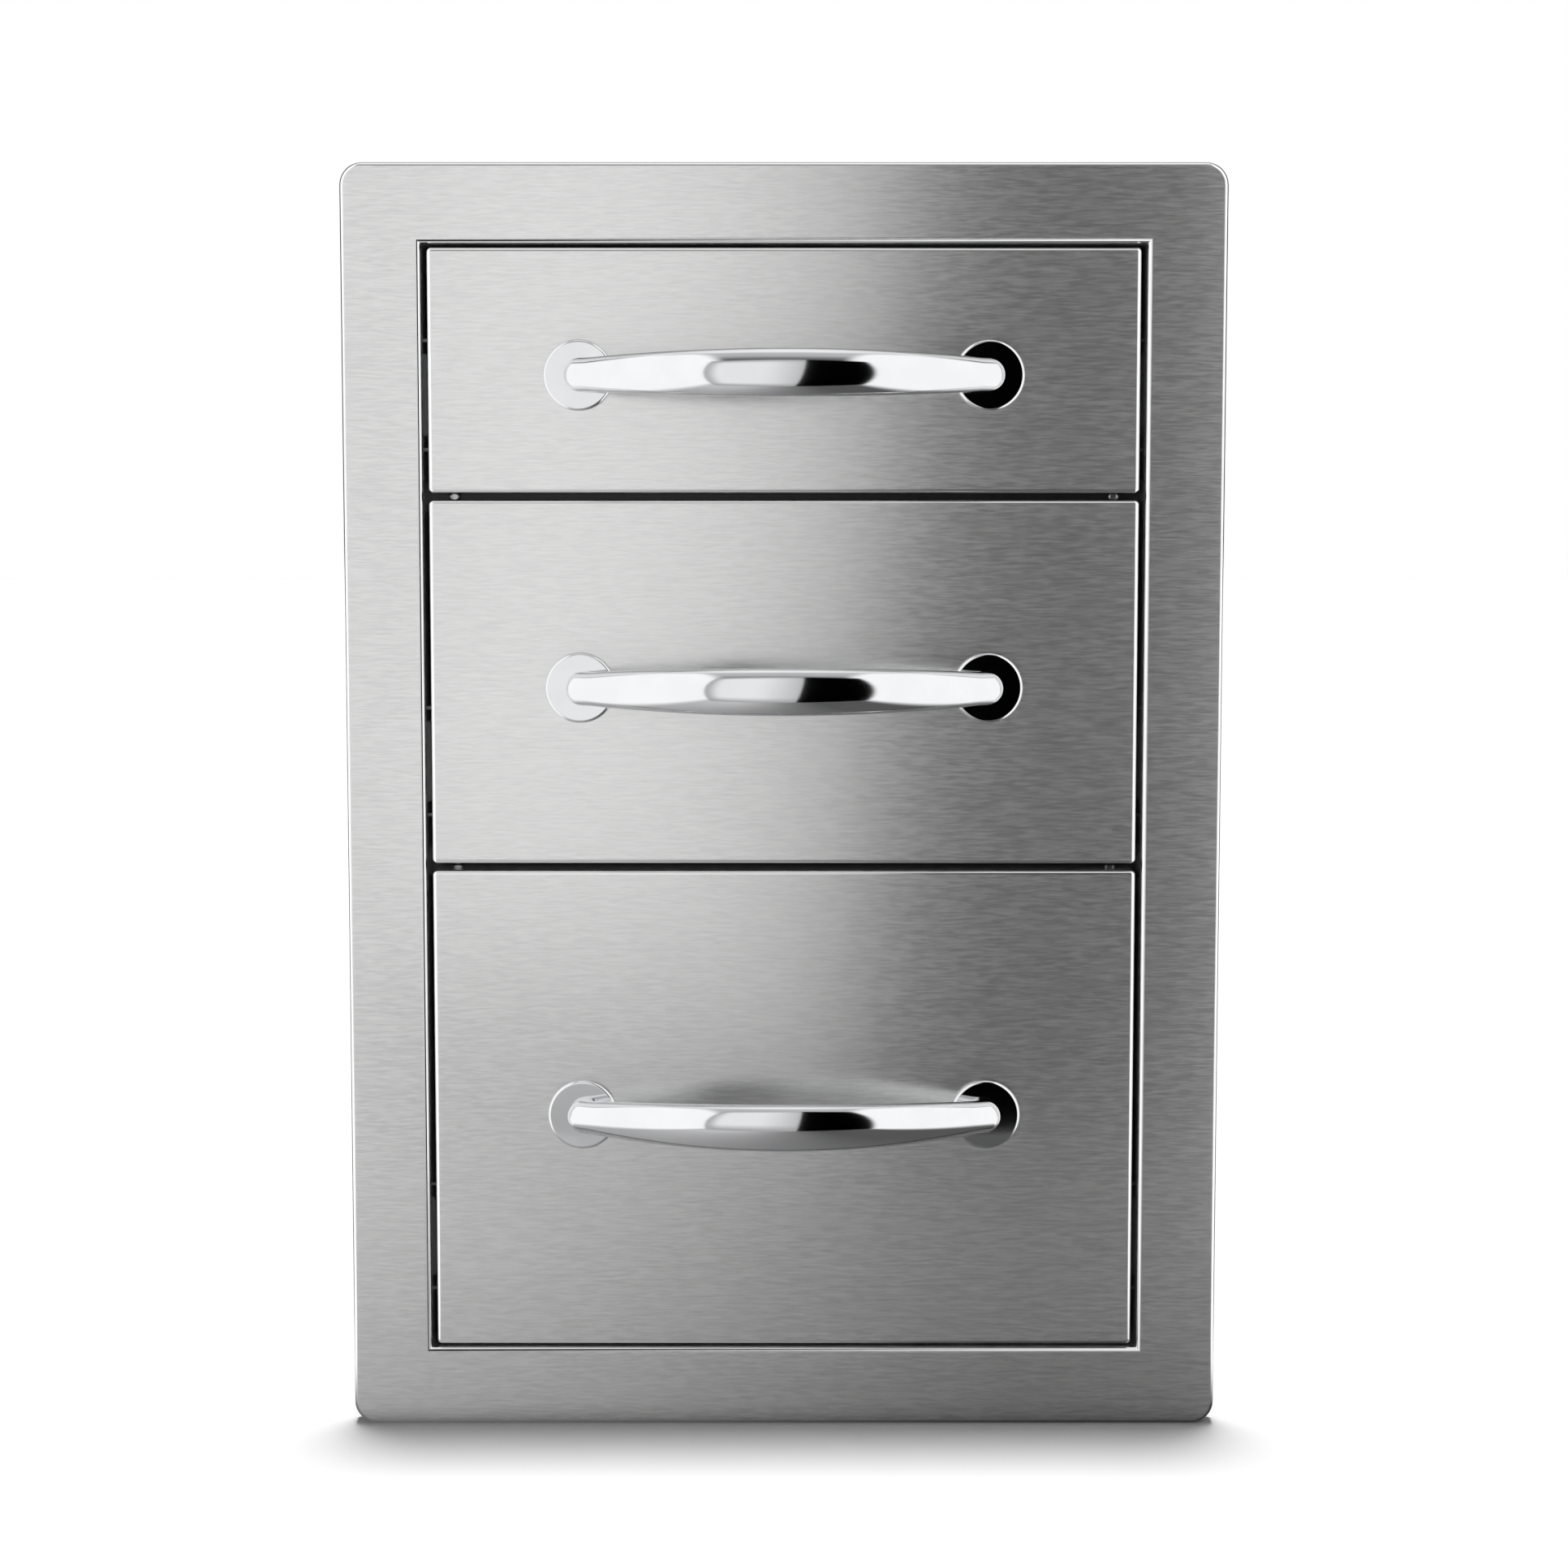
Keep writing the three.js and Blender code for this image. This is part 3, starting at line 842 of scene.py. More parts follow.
@dataclass
class FaceFrame:
    """The flange round the drawers: flat rails, folded back at both edges."""

    half_width: float = 177.8 * MM
    bottom: float = -4.5 * MM
    top: float = 511.0 * MM
    front: float = -10.0 * MM
    rail_width: float = 32.3 * MM
    corner_radius: float = 9.0 * MM
    rim_fold: float = 1.7 * MM
    opening_fold: float = 2.6 * MM
    sheet: float = 1.0 * MM
    return_rear: float = 12.0 * MM
    lip: float = 8.0 * MM
    lip_fold: float = 1.2 * MM
    corner_steps: int = 8
    fold_steps: int = 6
    lip_steps: int = 2

    def build(self) -> None:
        """Makes the frame as one folded sheet."""
        piece = Workpiece()
        width = 2 * self.half_width
        height = self.top - self.bottom
        piece.rectangle(width, height)
        piece.round_corners(list(piece.bm.verts), self.corner_radius, self.corner_steps)
        half_open = (self.half_width - self.rail_width, height / 2 - self.rail_width)
        for sign in (-1, 1):
            piece.cut((sign * half_open[0], 0, 0), (1, 0, 0))
            piece.cut((0, 0, sign * half_open[1]), (0, 0, 1))
        piece.delete(piece.faces_where(lambda face: face.calc_center_median().length < self.sheet))
        inner = piece.edges_where(lambda edge: edge.is_boundary and all(
            abs(vert.co.x) < half_open[0] + self.sheet and abs(vert.co.z) < half_open[1] + self.sheet
            for vert in edge.verts))
        outer = piece.edges_where(lambda edge: edge.is_boundary and edge not in set(inner))
        middle = (self.bottom + self.top) / 2
        bmesh.ops.translate(piece.bm, vec=(0, self.front, middle), verts=list(piece.bm.verts))
        piece.move_out(inner, (0, self.return_rear - self.front, 0))
        outer_wall = piece.move_out(outer, (0, -self.front, 0))
        rear_edges = piece.edges_where(lambda edge: edge.is_boundary and edge.verts[0] in set(outer_wall))
        centre = (0, 0, middle)
        scale = (1 - self.lip / self.half_width, 1, 1 - self.lip / (height / 2))
        piece.move_out(rear_edges, (0, 0, 0), scale, centre)
        piece.round_edges(rear_edges, self.lip_fold, self.lip_steps)
        piece.outwards()
        piece.round_edges([edge for edge in outer if edge.is_valid], self.rim_fold, self.fold_steps)
        piece.round_edges([edge for edge in inner if edge.is_valid], self.opening_fold, self.fold_steps)
        piece.thicken(self.sheet)
        piece.finish("face_frame_folded", "cabinet", Slot.FACE, ["face_frame"])


@dataclass
class BowHandle:
    """A cast bow handle: one bar that bends out of two round feet, with a rosette under each."""

    drawer: str
    height: float
    face: float = -10.0 * MM
    half_span: float = 82.5 * MM
    projection: float = 29.5 * MM
    root_rise: float = 5.8 * MM
    foot_rise: float = 2.8 * MM
    foot_half: Pair = (6.8 * MM, 5.9 * MM)
    corner_radius: float = 4.8 * MM
    join_inset: float = 5.0 * MM
    root_half: Pair = (6.5 * MM, 5.9 * MM)
    middle_half: Pair = (9.5 * MM, 4.8 * MM)
    flattened: float = 0.6
    sides: int = 40
    bow_steps: int = 72
    bend_steps: int = 12
    rosette_radius: float = 14.2 * MM
    rosette_back: float = 0.3 * MM
    rosette_thickness: float = 2.4 * MM
    rosette_rim: float = 1.25 * MM
    rosette_rim_steps: int = 6
    rosette_steps: int = 72
    rosette_sharp: float = 28.0
    bore_radius: float = 1.95 * MM
    screw_seat: float = 9.4 * MM
    screw_shank: float = 1.75 * MM
    screw_tip: float = -18.0 * MM
    screw_tip_length: float = 1.75 / 3 * MM
    screw_tip_share: float = 0.7
    screw_steps: int = 36
    screw_head_radius: float = 3.5 * MM
    screw_head_height: float = 2.6 * MM
    screw_head_edge: float = 0.45 * MM
    screw_edge_cut: float = 0.135 * MM
    hex_width: float = 2.5 * MM
    hex_depth: float = 1.4 * MM

    def rise(self, x: float) -> float:
        """How far the bar's centre stands off the face at x."""
        share = x / self.half_span
        return self.root_rise + (self.projection - self.root_rise) * (1 - share * share)

    def slope(self, x: float) -> float:
        """The bar's slope at x."""
        return -2 * (self.projection - self.root_rise) * x / self.half_span**2

    def turned(self, way: Vector) -> float:
        """The heading of a section whose plane goes along a way in X and rise."""
        return math.atan2(-way.x, way.y)

    def halves(self, x: float) -> Pair:
        """Sizes the bow's section.

        Args:
            x: Where the section is.

        Returns:
            Its half height and half thickness.
        """
        growth = 1 - (x / self.half_span) ** 2
        high, thick = (root + (middle - root) * growth
                       for root, middle in zip(self.root_half, self.middle_half))
        return high, thick

    def stations(self) -> list[Station]:
        """The sections from the left foot to the right one.

        Returns:
            X, rise, heading in radians, half height and half thickness of each section.
        """
        join = -self.half_span + self.join_inset
        heading = math.atan(self.slope(join))
        high, thick = self.halves(join)
        out = Vector((-math.sin(heading), math.cos(heading)))
        hinge = Vector((join, self.rise(join))) - out * thick
        wall = -self.half_span - self.foot_half[1]
        centre = Vector((wall + self.corner_radius, 0.0))
        centre.y = hinge.y + (2 * thick - self.corner_radius - (centre.x - hinge.x) * out.x) / out.y
        swing = [self.turned(Vector((wall, centre.y)) - hinge),
                 self.turned(centre + out * self.corner_radius - hinge)]
        headings = [QUARTER_TURN]
        headings += [swing[0] + (swing[1] - swing[0]) * step / self.bend_steps
                     for step in range(self.bend_steps + 1)]
        foot_x = (wall + hinge.x) / 2
        left = [(foot_x, self.foot_rise, QUARTER_TURN, self.foot_half[0], hinge.x - foot_x)]
        for turned in headings:
            ray = Vector((-math.sin(turned), math.cos(turned)))
            reach = (wall - hinge.x) / ray.x
            if turned < swing[0]:
                near = ray.dot(centre - hinge)
                off = (centre - hinge).length_squared - self.corner_radius**2
                reach = near + math.sqrt(max(near * near - off, 0.0))
            place = hinge + ray * reach / 2
            share = (QUARTER_TURN - turned) / (QUARTER_TURN - heading)
            left.append((place.x, place.y, turned, blend(self.foot_half[0], high, share), reach / 2))
        bow = []
        for step in range(self.bow_steps + 1):
            x = join * (1 - 2 * step / self.bow_steps)
            bow.append((x, self.rise(x), math.atan(self.slope(x)), *self.halves(x)))
        right = [(-x, rise, -heading, high, thick) for x, rise, heading, high, thick in reversed(left)]
        return left + bow + right

    def section(self, station: Station) -> Matrix:
        """Places one section.

        Args:
            station: Its X, rise, heading, half height and half thickness.

        Returns:
            Where a unit circle goes.
        """
        x, rise, heading, high, thick = station
        out = Vector((-math.sin(heading), -math.cos(heading), 0))
        along = Vector((math.cos(heading), -math.sin(heading), 0))
        matrix = Matrix.Identity(4)
        for column, axis in enumerate((out * thick, Vector((0, 0, high)), along)):
            matrix[0][column], matrix[1][column], matrix[2][column] = axis
        return Matrix.Translation((x, self.face - rise, self.height)) @ matrix

    def flatten_back(self, place: Matrix, verts: list[Vert]) -> None:
        """Flattens the side of one section that faces the drawer, the more the nearer the middle.

        Args:
            place: Where the section's unit circle went.
            verts: The section's vertices.
        """
        reach = place.translation.x / (self.half_span - self.join_inset)
        share = self.flattened * max(1 - reach * reach, 0.0)
        unplace = place.inverted()
        for vert in verts:
            spot = unplace @ vert.co
            if spot.x < 0:
                spot.x *= 1 - share
                vert.co = place @ spot

    def build_bar(self) -> None:
        """Sweeps the bar from foot to foot."""
        piece = Workpiece()
        places = [self.section(station) for station in self.stations()]
        verts = bmesh.ops.create_circle(piece.bm, cap_ends=False, radius=1.0, segments=self.sides)["verts"]
        bmesh.ops.transform(piece.bm, matrix=places[0], verts=verts)
        ring = list(piece.bm.edges)
        rings = [verts]
        bmesh.ops.contextual_create(piece.bm, geom=ring)
        for before, after in zip(places, places[1:]):
            verts, ring = piece.extrude(ring)
            bmesh.ops.transform(piece.bm, matrix=after @ before.inverted(), verts=verts)
            rings.append(verts)
        bmesh.ops.contextual_create(piece.bm, geom=ring)
        for place, verts in zip(places, rings):
            self.flatten_back(place, verts)
        piece.finish(f"{self.drawer}_handle_bar", f"{self.drawer}_drawer", Slot.CHROME,
                     [f"{self.drawer}_handle"])

    def build_rosette(self, side: Side) -> None:
        """Turns one rosette, a flat disc with a rounded rim.

        Args:
            side: The end of the handle that it sits under.
        """
        top = self.rosette_thickness
        inner = self.rosette_radius - self.rosette_rim
        profile = [(self.bore_radius, 0.0), (self.rosette_radius, 0.0)]
        for step in range(self.rosette_rim_steps + 1):
            angle = QUARTER_TURN * step / self.rosette_rim_steps
            profile.append((inner + self.rosette_rim * math.cos(angle),
                            top - self.rosette_rim * (1 - math.sin(angle))))
        profile.append((self.bore_radius, top))
        piece = Workpiece()
        centre = (side.sign * self.half_span, self.face - self.rosette_back, self.height)
        piece.turn(profile, centre, Way.FRONT.value, self.rosette_steps)
        piece.finish(f"{self.drawer}_{side.value}_rosette_disc", f"{self.drawer}_drawer", Slot.CHROME,
                     [f"{self.drawer}_{side.value}_rosette"], sharp=self.rosette_sharp)

    def build_screw(self, side: Side) -> None:
        """Turns one socket-head screw, from inside the tub into the handle's foot.

        Args:
            side: The end of the handle that it holds.
        """
        head = self.screw_head_radius
        edge = self.screw_head_edge
        floor = -self.screw_head_height
        shank = self.screw_shank
        reach = self.screw_seat - self.screw_tip
        profile = [
            (0.0, floor),
            (head - edge, floor),
            (head - self.screw_edge_cut, floor + self.screw_edge_cut),
            (head, floor + edge),
            (head, 0.0),
            (shank, 0.0),
            (shank, reach - self.screw_tip_length),
            (self.screw_tip_share * shank, reach),
            (0.0, reach),
        ]
        piece = Workpiece()
        centre = Vector((side.sign * self.half_span, self.screw_seat, self.height))
        piece.turn(profile, centre, Way.FRONT.value, self.screw_steps, closed=False)
        rear = self.screw_seat + self.screw_head_height
        crown = piece.faces_where(lambda face: all(abs(vert.co.y - rear) < NEAR for vert in face.verts))
        rim = list({item for face in crown for item in face.edges if len(set(item.link_faces) - set(crown))})
        bmesh.ops.delete(piece.bm, geom=crown, context="FACES_KEEP_BOUNDARY")
        turn = Matrix.Translation((centre.x, rear, centre.z)) @ Matrix.Rotation(QUARTER_TURN, 4, "X")
        socket = bmesh.ops.create_circle(piece.bm, segments=HEX_SIDES, radius=self.hex_width / math.sqrt(3),
                                         matrix=turn)["verts"]
        mouth = list({edge for vert in socket for edge in vert.link_edges})
        bmesh.ops.triangle_fill(piece.bm, use_beauty=True, edges=rim + mouth, normal=Way.REAR.value)
        deep, end = piece.extrude(mouth)
        bmesh.ops.translate(piece.bm, vec=(0, -self.hex_depth, 0), verts=deep)
        bmesh.ops.contextual_create(piece.bm, geom=end)
        piece.finish(f"{self.drawer}_{side.value}_socket_screw", f"{self.drawer}_drawer", Slot.SCREW,
                     [f"{self.drawer}_{side.value}_handle_screw"])

    def build(self) -> None:
        """Makes the bar, both rosettes and both screws."""
        self.build_bar()
        for side in Side:
            self.build_rosette(side)
            self.build_screw(side)


@dataclass
class DrawerFront:
    """A folded steel pan that closes the front of a drawer, and the liner pushed into it."""

    drawer: str
    floor: float
    height: float
    half_width: float = 143.4 * MM
    front: float = -10.0 * MM
    depth: float = 18.0 * MM
    sheet: float = 1.0 * MM
    fold_radius: float = 1.9 * MM
    fold_steps: int = 6
    seat_gap: float = 0.3 * MM
    liner_sheet: float = 0.8 * MM
    liner_depth: float = 10.0 * MM
    liner_fold: float = 1.2 * MM

    def build_pan(self) -> None:
        """Folds the pan, open to the rear."""
        piece = Workpiece()
        piece.folded_box((-self.half_width, self.front, self.floor),
                         (self.half_width, self.front + self.depth, self.floor + self.height),
                         (Way.REAR,), self.fold_radius, self.fold_steps)
        piece.thicken(self.sheet)
        piece.finish(f"{self.drawer}_front_folded", f"{self.drawer}_drawer", Slot.FACE,
                     [f"{self.drawer}_front_pan"])

    def build_liner(self) -> None:
        """Folds the liner, whose rim turns to the front inside the pan's."""
        piece = Workpiece()
        inset = self.sheet + self.seat_gap
        rear = self.front + self.depth
        piece.folded_box((inset - self.half_width, rear - self.liner_depth, self.floor + inset),
                         (self.half_width - inset, rear, self.floor + self.height - inset),
                         (Way.FRONT,), self.liner_fold)
        piece.thicken(self.liner_sheet)
        piece.finish(f"{self.drawer}_liner_folded", f"{self.drawer}_drawer", Slot.SHEET,
                     [f"{self.drawer}_front_liner"])

    def build(self) -> None:
        """Makes the pan and its liner."""
        self.build_pan()
        self.build_liner()


@dataclass
class Housing:
    """The sheet box behind the face frame: a folded wrap, a lid, a back tray and their rivets."""

    front: float = -8.7 * MM
    rear: float = 573.0 * MM
    wrap_half: float = 148.6 * MM
    lid_half: float = 149.9 * MM
    back_half: float = 147.3 * MM
    wrap_floor: float = 24.7 * MM
    wrap_top: float = 480.8 * MM
    lid_foot: float = 466.1 * MM
    lid_top: float = 482.1 * MM
    back_front: float = 561.0 * MM
    back_floor: float = 26.0 * MM
    sheet: float = 1.0 * MM
    fold_radius: float = 2.0 * MM
    bead_depth: float = 1.1 * MM
    bead_slope: float = 4.0 * MM
    bead_front: float = 48.0 * MM
    bead_rear: float = 528.0 * MM
    side_beads: tuple[Pair, ...] = (
        (112 * MM, 136 * MM), (184 * MM, 208 * MM), (322 * MM, 346 * MM), (360 * MM, 384 * MM),
    )
    lid_beads: tuple[Pair, ...] = (
        (-96 * MM, -60 * MM), (-18 * MM, 18 * MM), (60 * MM, 96 * MM),
    )
    back_beads: tuple[Pair, ...] = ((70 * MM, 235 * MM), (270 * MM, 435 * MM))
    back_bead_half: float = 104 * MM
    slide_holes: tuple[float, ...] = (49 * MM, 267 * MM, 485 * MM)
    slide_heights: tuple[float, ...] = (419.4 * MM, 269.0 * MM, 69.1 * MM)
    back_hole: float = 567 * MM
    back_heights: tuple[float, ...] = (64 * MM, 180 * MM, 300 * MM, 430 * MM)
    frame_hole: float = 2 * MM
    frame_heights: tuple[float, ...] = (48 * MM, 170 * MM, 300 * MM, 440 * MM)
    lid_holes: tuple[float, ...] = (2 * MM, 190 * MM, 378 * MM, 566 * MM)
    lid_height: float = 473.5 * MM
    rivet: RoundHead = RoundHead(
        radius=3.3 * MM, height=1.1 * MM, socket_radius=0.9 * MM, socket_depth=0.5 * MM
    )

    def build_wrap(self) -> None:
        """Folds both sides and the floor."""
        piece = Workpiece()
        low = (-self.wrap_half, self.front, self.wrap_floor)
        high = (self.wrap_half, self.rear, self.wrap_top)
        piece.folded_box(low, high, (Way.UP, Way.FRONT, Way.REAR), self.fold_radius)
        beads = [((0, self.bead_front, bottom), (0, self.bead_rear, top)) for bottom, top in self.side_beads]
        for way in (Way.LEFT, Way.RIGHT):
            piece.press(way, beads, self.bead_depth, self.bead_slope)
        piece.thicken(self.sheet)
        piece.finish("housing_wrap_folded", "cabinet", Slot.SHEET, ["housing_wrap"])

    def build_lid(self) -> None:
        """Folds the lid, whose skirts hang outside the wrap."""
        piece = Workpiece()
        low = (-self.lid_half, self.front, self.lid_foot)
        high = (self.lid_half, self.rear, self.lid_top)
        piece.folded_box(low, high, (Way.DOWN, Way.FRONT, Way.REAR), self.fold_radius)
        beads = [((left, self.bead_front, 0), (right, self.bead_rear, 0)) for left, right in self.lid_beads]
        piece.press(Way.UP, beads, self.bead_depth, self.bead_slope)
        piece.thicken(self.sheet)
        piece.finish("housing_lid_folded", "cabinet", Slot.SHEET, ["housing_top"])

    def build_back(self) -> None:
        """Folds the back tray, whose rim turns to the rear."""
        piece = Workpiece()
        low = (-self.back_half, self.back_front, self.back_floor)
        high = (self.back_half, self.rear, self.wrap_top)
        piece.folded_box(low, high, (Way.REAR,), self.fold_radius)
        half = self.back_bead_half
        beads = [((-half, 0, bottom), (half, 0, top)) for bottom, top in self.back_beads]
        piece.press(Way.FRONT, beads, self.bead_depth, self.bead_slope)
        piece.thicken(self.sheet)
        piece.finish("housing_back_folded", "cabinet", Slot.SHEET, ["housing_back"])

    def build_rivets(self) -> None:
        """Sets the rivets of the slides, the lid, the back tray and the face frame's return."""
        piece = Workpiece()
        for side in Side:
            way = (float(side.sign), 0.0, 0.0)
            wall = side.sign * self.wrap_half
            places = [(wall, hole, height) for hole in self.slide_holes for height in self.slide_heights]
            places += [(wall, self.back_hole, height) for height in self.back_heights]
            places += [(wall, self.frame_hole, height) for height in self.frame_heights]
            places += [(side.sign * self.lid_half, hole, self.lid_height) for hole in self.lid_holes]
            piece.heads(self.rivet, places, way)
        piece.finish("housing_rivets", "cabinet", Slot.SCREW)

    def build(self) -> None:
        """Makes the wrap, the lid, the back tray and the rivets."""
        self.build_wrap()
        self.build_lid()
        self.build_back()
        self.build_rivets()


@dataclass
class DividerRail:
    """A channel across the opening between two drawers, with a screw near each end."""

    name: str
    height: float
    half_width: float = 147.3 * MM
    front: float = 12.3 * MM
    depth: float = 14.0 * MM
    half_height: float = 7.0 * MM
    sheet: float = 1.2 * MM
    fold_radius: float = 1.9 * MM
    screw_spacing: float = 270.0 * MM
    screw: RoundHead = RoundHead(
        radius=2.4 * MM, height=1.4 * MM, socket_radius=1.0 * MM, socket_depth=0.7 * MM, steps=28
    )

    def build(self) -> None:
        """Folds the channel and sets its screws."""
        piece = Workpiece()
        piece.folded_box((-self.half_width, self.front, self.height - self.half_height),
                         (self.half_width, self.front + self.depth, self.height + self.half_height),
                         (Way.REAR,), self.fold_radius)
        piece.thicken(self.sheet)
        # The channel takes the near-black sheet, painted shade for the gaps between the drawers.
        piece.finish(f"{self.name}_divider_channel", "cabinet", Slot.SHEET,
                     [f"{self.name}_divider_rail"], look=RAIL_SHADE_SHEET)
        screws = Workpiece()
        places = [(side.sign * self.screw_spacing / 2, self.front, self.height) for side in Side]
        screws.heads(self.screw, places, Way.FRONT.value)
        screws.finish(f"{self.name}_divider_screws", "cabinet", Slot.SCREW)


@dataclass
class BallSlide:
    """A full-extension slide: three nested channels and the two ball retainers between them."""

    drawer: str
    side: Side
    height: float
    wall: float = 147.3 * MM
    front: float = 13.0 * MM
    length: float = 508.0 * MM
    sheet: float = 1.2 * MM
    fold_radius: float = 1.7 * MM
    outer: ChannelShape = (0.0, 11.0 * MM, 22.8 * MM, 2.2 * MM)
    middle: ChannelShape = (2.6 * MM, 10.5 * MM, 17.0 * MM, 2.0 * MM)
    inner: ChannelShape = (12.7 * MM, 5.2 * MM, 11.2 * MM, 0.0)
    outer_cage: ChannelShape = (1.5 * MM, 8.5 * MM, 19.7 * MM, 0.0)
    inner_cage: ChannelShape = (4.1 * MM, 8.5 * MM, 13.9 * MM, 0.0)
    outer_balls: Pair = (5.6 * MM, 19.3 * MM)
    inner_balls: Pair = (7.0 * MM, 13.5 * MM)
    cage_sheet: float = 0.8 * MM
    cage_fold: float = 1.1 * MM
    cage_length: float = 200.0 * MM
    ball_radius: float = 2.0 * MM
    ball_steps: tuple[int, int] = (10, 6)
    ball_sharp: float = 60.0
    balls_per_row: int = 10
    hole_places: tuple[float, ...] = (36.0 * MM, 254.0 * MM, 472.0 * MM)
    flush_head: RoundHead = RoundHead(
        radius=3.7 * MM, height=0.2 * MM, socket_radius=1.3 * MM, socket_depth=0.2 * MM
    )
    pan_head: RoundHead = RoundHead(
        radius=3.6 * MM, height=1.7 * MM, socket_radius=1.4 * MM, socket_depth=0.9 * MM
    )

    def at(self, reach: float, along: float, above: float) -> Place:
        """Gives a place in the unit's frame.

        Args:
            reach: Its distance from the slide's back, towards the drawer.
            along: Its distance behind the slide's front end.
            above: Its height above the slide's middle.

        Returns:
            The place.
        """
        return (self.side.sign * (self.wall - reach), self.front + along, self.height + above)

    def towards(self, sign: float) -> Place:
        """The way to the drawer for 1, or to the housing for -1."""
        return (-self.side.sign * sign, 0.0, 0.0)

    def build_channel(self, part: str, body: str, shape: ChannelShape, sheet: float, fold: float,
                      span: Pair, slot: Slot) -> None:
        """Draws one channel.

        Args:
            part: The end of the CAD node's name.
            body: The end of the body's name, or cabinet.
            shape: The web's reach, the flange tips' reach, the half height and the lips' height.
            sheet: The sheet's thickness.
            fold: The folds' outer radius.
            span: Where it starts and ends along the slide.
            slot: The record's slot.
        """
        web, tip, half, lip = shape
        corners = [(tip, half), (web, half), (web, -half), (tip, -half)]
        if lip:
            corners = [(tip, half - lip), *corners, (tip, lip - half)]
        piece = Workpiece()
        piece.line([self.at(reach, span[0], above) for reach, above in corners])
        bends = [vert for vert in piece.bm.verts if len(vert.link_edges) == 2]
        piece.round_corners(bends, fold, piece.FOLD_STEPS)
        piece.move_out(list(piece.bm.edges), (0, span[1] - span[0], 0))
        piece.face_towards(self.towards(math.copysign(1.0, web - tip)))
        piece.thicken(sheet)
        whole_body = body if body == "cabinet" else f"{self.drawer}_{body}"
        node = f"{self.drawer}_{self.side.value}_slide_{part}"
        piece.finish(f"{node}_drawn", whole_body, slot, [node])

    def build_balls(self, part: str, body: str, balls: Pair) -> None:
        """Fills a retainer's two rows with balls.

        Args:
            part: The end of the piece's name.
            body: The end of the body's name.
            balls: The rows' reach and their height above and below the slide's middle.
        """
        piece = Workpiece()
        reach, half = balls
        pitch = self.cage_length / self.balls_per_row
        start = (self.length - self.cage_length + pitch) / 2
        for step in range(self.balls_per_row):
            for above in (-half, half):
                place = Matrix.Translation(self.at(reach, start + step * pitch, above))
                bmesh.ops.create_uvsphere(piece.bm, u_segments=self.ball_steps[0],
                                          v_segments=self.ball_steps[1], radius=self.ball_radius,
                                          matrix=place)
        piece.finish(f"{self.drawer}_{self.side.value}_slide_{part}", f"{self.drawer}_{body}",
                     Slot.RETAINER, sharp=self.ball_sharp)

    def build_screws(self) -> None:
        """Sets the screws through the outer and the inner member."""
        stem = f"{self.drawer}_{self.side.value}_slide"
        fixed = Workpiece()
        fixed.heads(self.flush_head, [self.at(self.sheet, hole, 0.0) for hole in self.hole_places],
                    self.towards(1))
        fixed.finish(f"{stem}_housing_screws", "cabinet", Slot.SCREW)
        riding = Workpiece()
        web = self.inner[0] - self.sheet
        riding.heads(self.pan_head, [self.at(web, hole, 0.0) for hole in self.hole_places],
                     self.towards(-1))
        riding.finish(f"{stem}_drawer_screws", f"{self.drawer}_drawer", Slot.SCREW)

    def build(self) -> None:
        """Makes the members, the retainers with their balls, and the screws."""
        whole = (0.0, self.length)
        cage = ((self.length - self.cage_length) / 2, (self.length + self.cage_length) / 2)
        steel = (self.sheet, self.fold_radius)
        strip = (self.cage_sheet, self.cage_fold)
        self.build_channel("outer_member", "cabinet", self.outer, *steel, whole, Slot.ZINC)
        self.build_channel("middle_member", "middle_members", self.middle, *steel, whole, Slot.ZINC)
        self.build_channel("inner_member", "drawer", self.inner, *steel, whole, Slot.ZINC)
        self.build_channel("outer_ball_cage", "outer_cages", self.outer_cage, *strip, cage,
                           Slot.RETAINER)
        self.build_channel("inner_ball_cage", "inner_cages", self.inner_cage, *strip, cage,
                           Slot.RETAINER)
        self.build_balls("outer_balls", "outer_cages", self.outer_balls)
        self.build_balls("inner_balls", "inner_cages", self.inner_balls)
        self.build_screws()


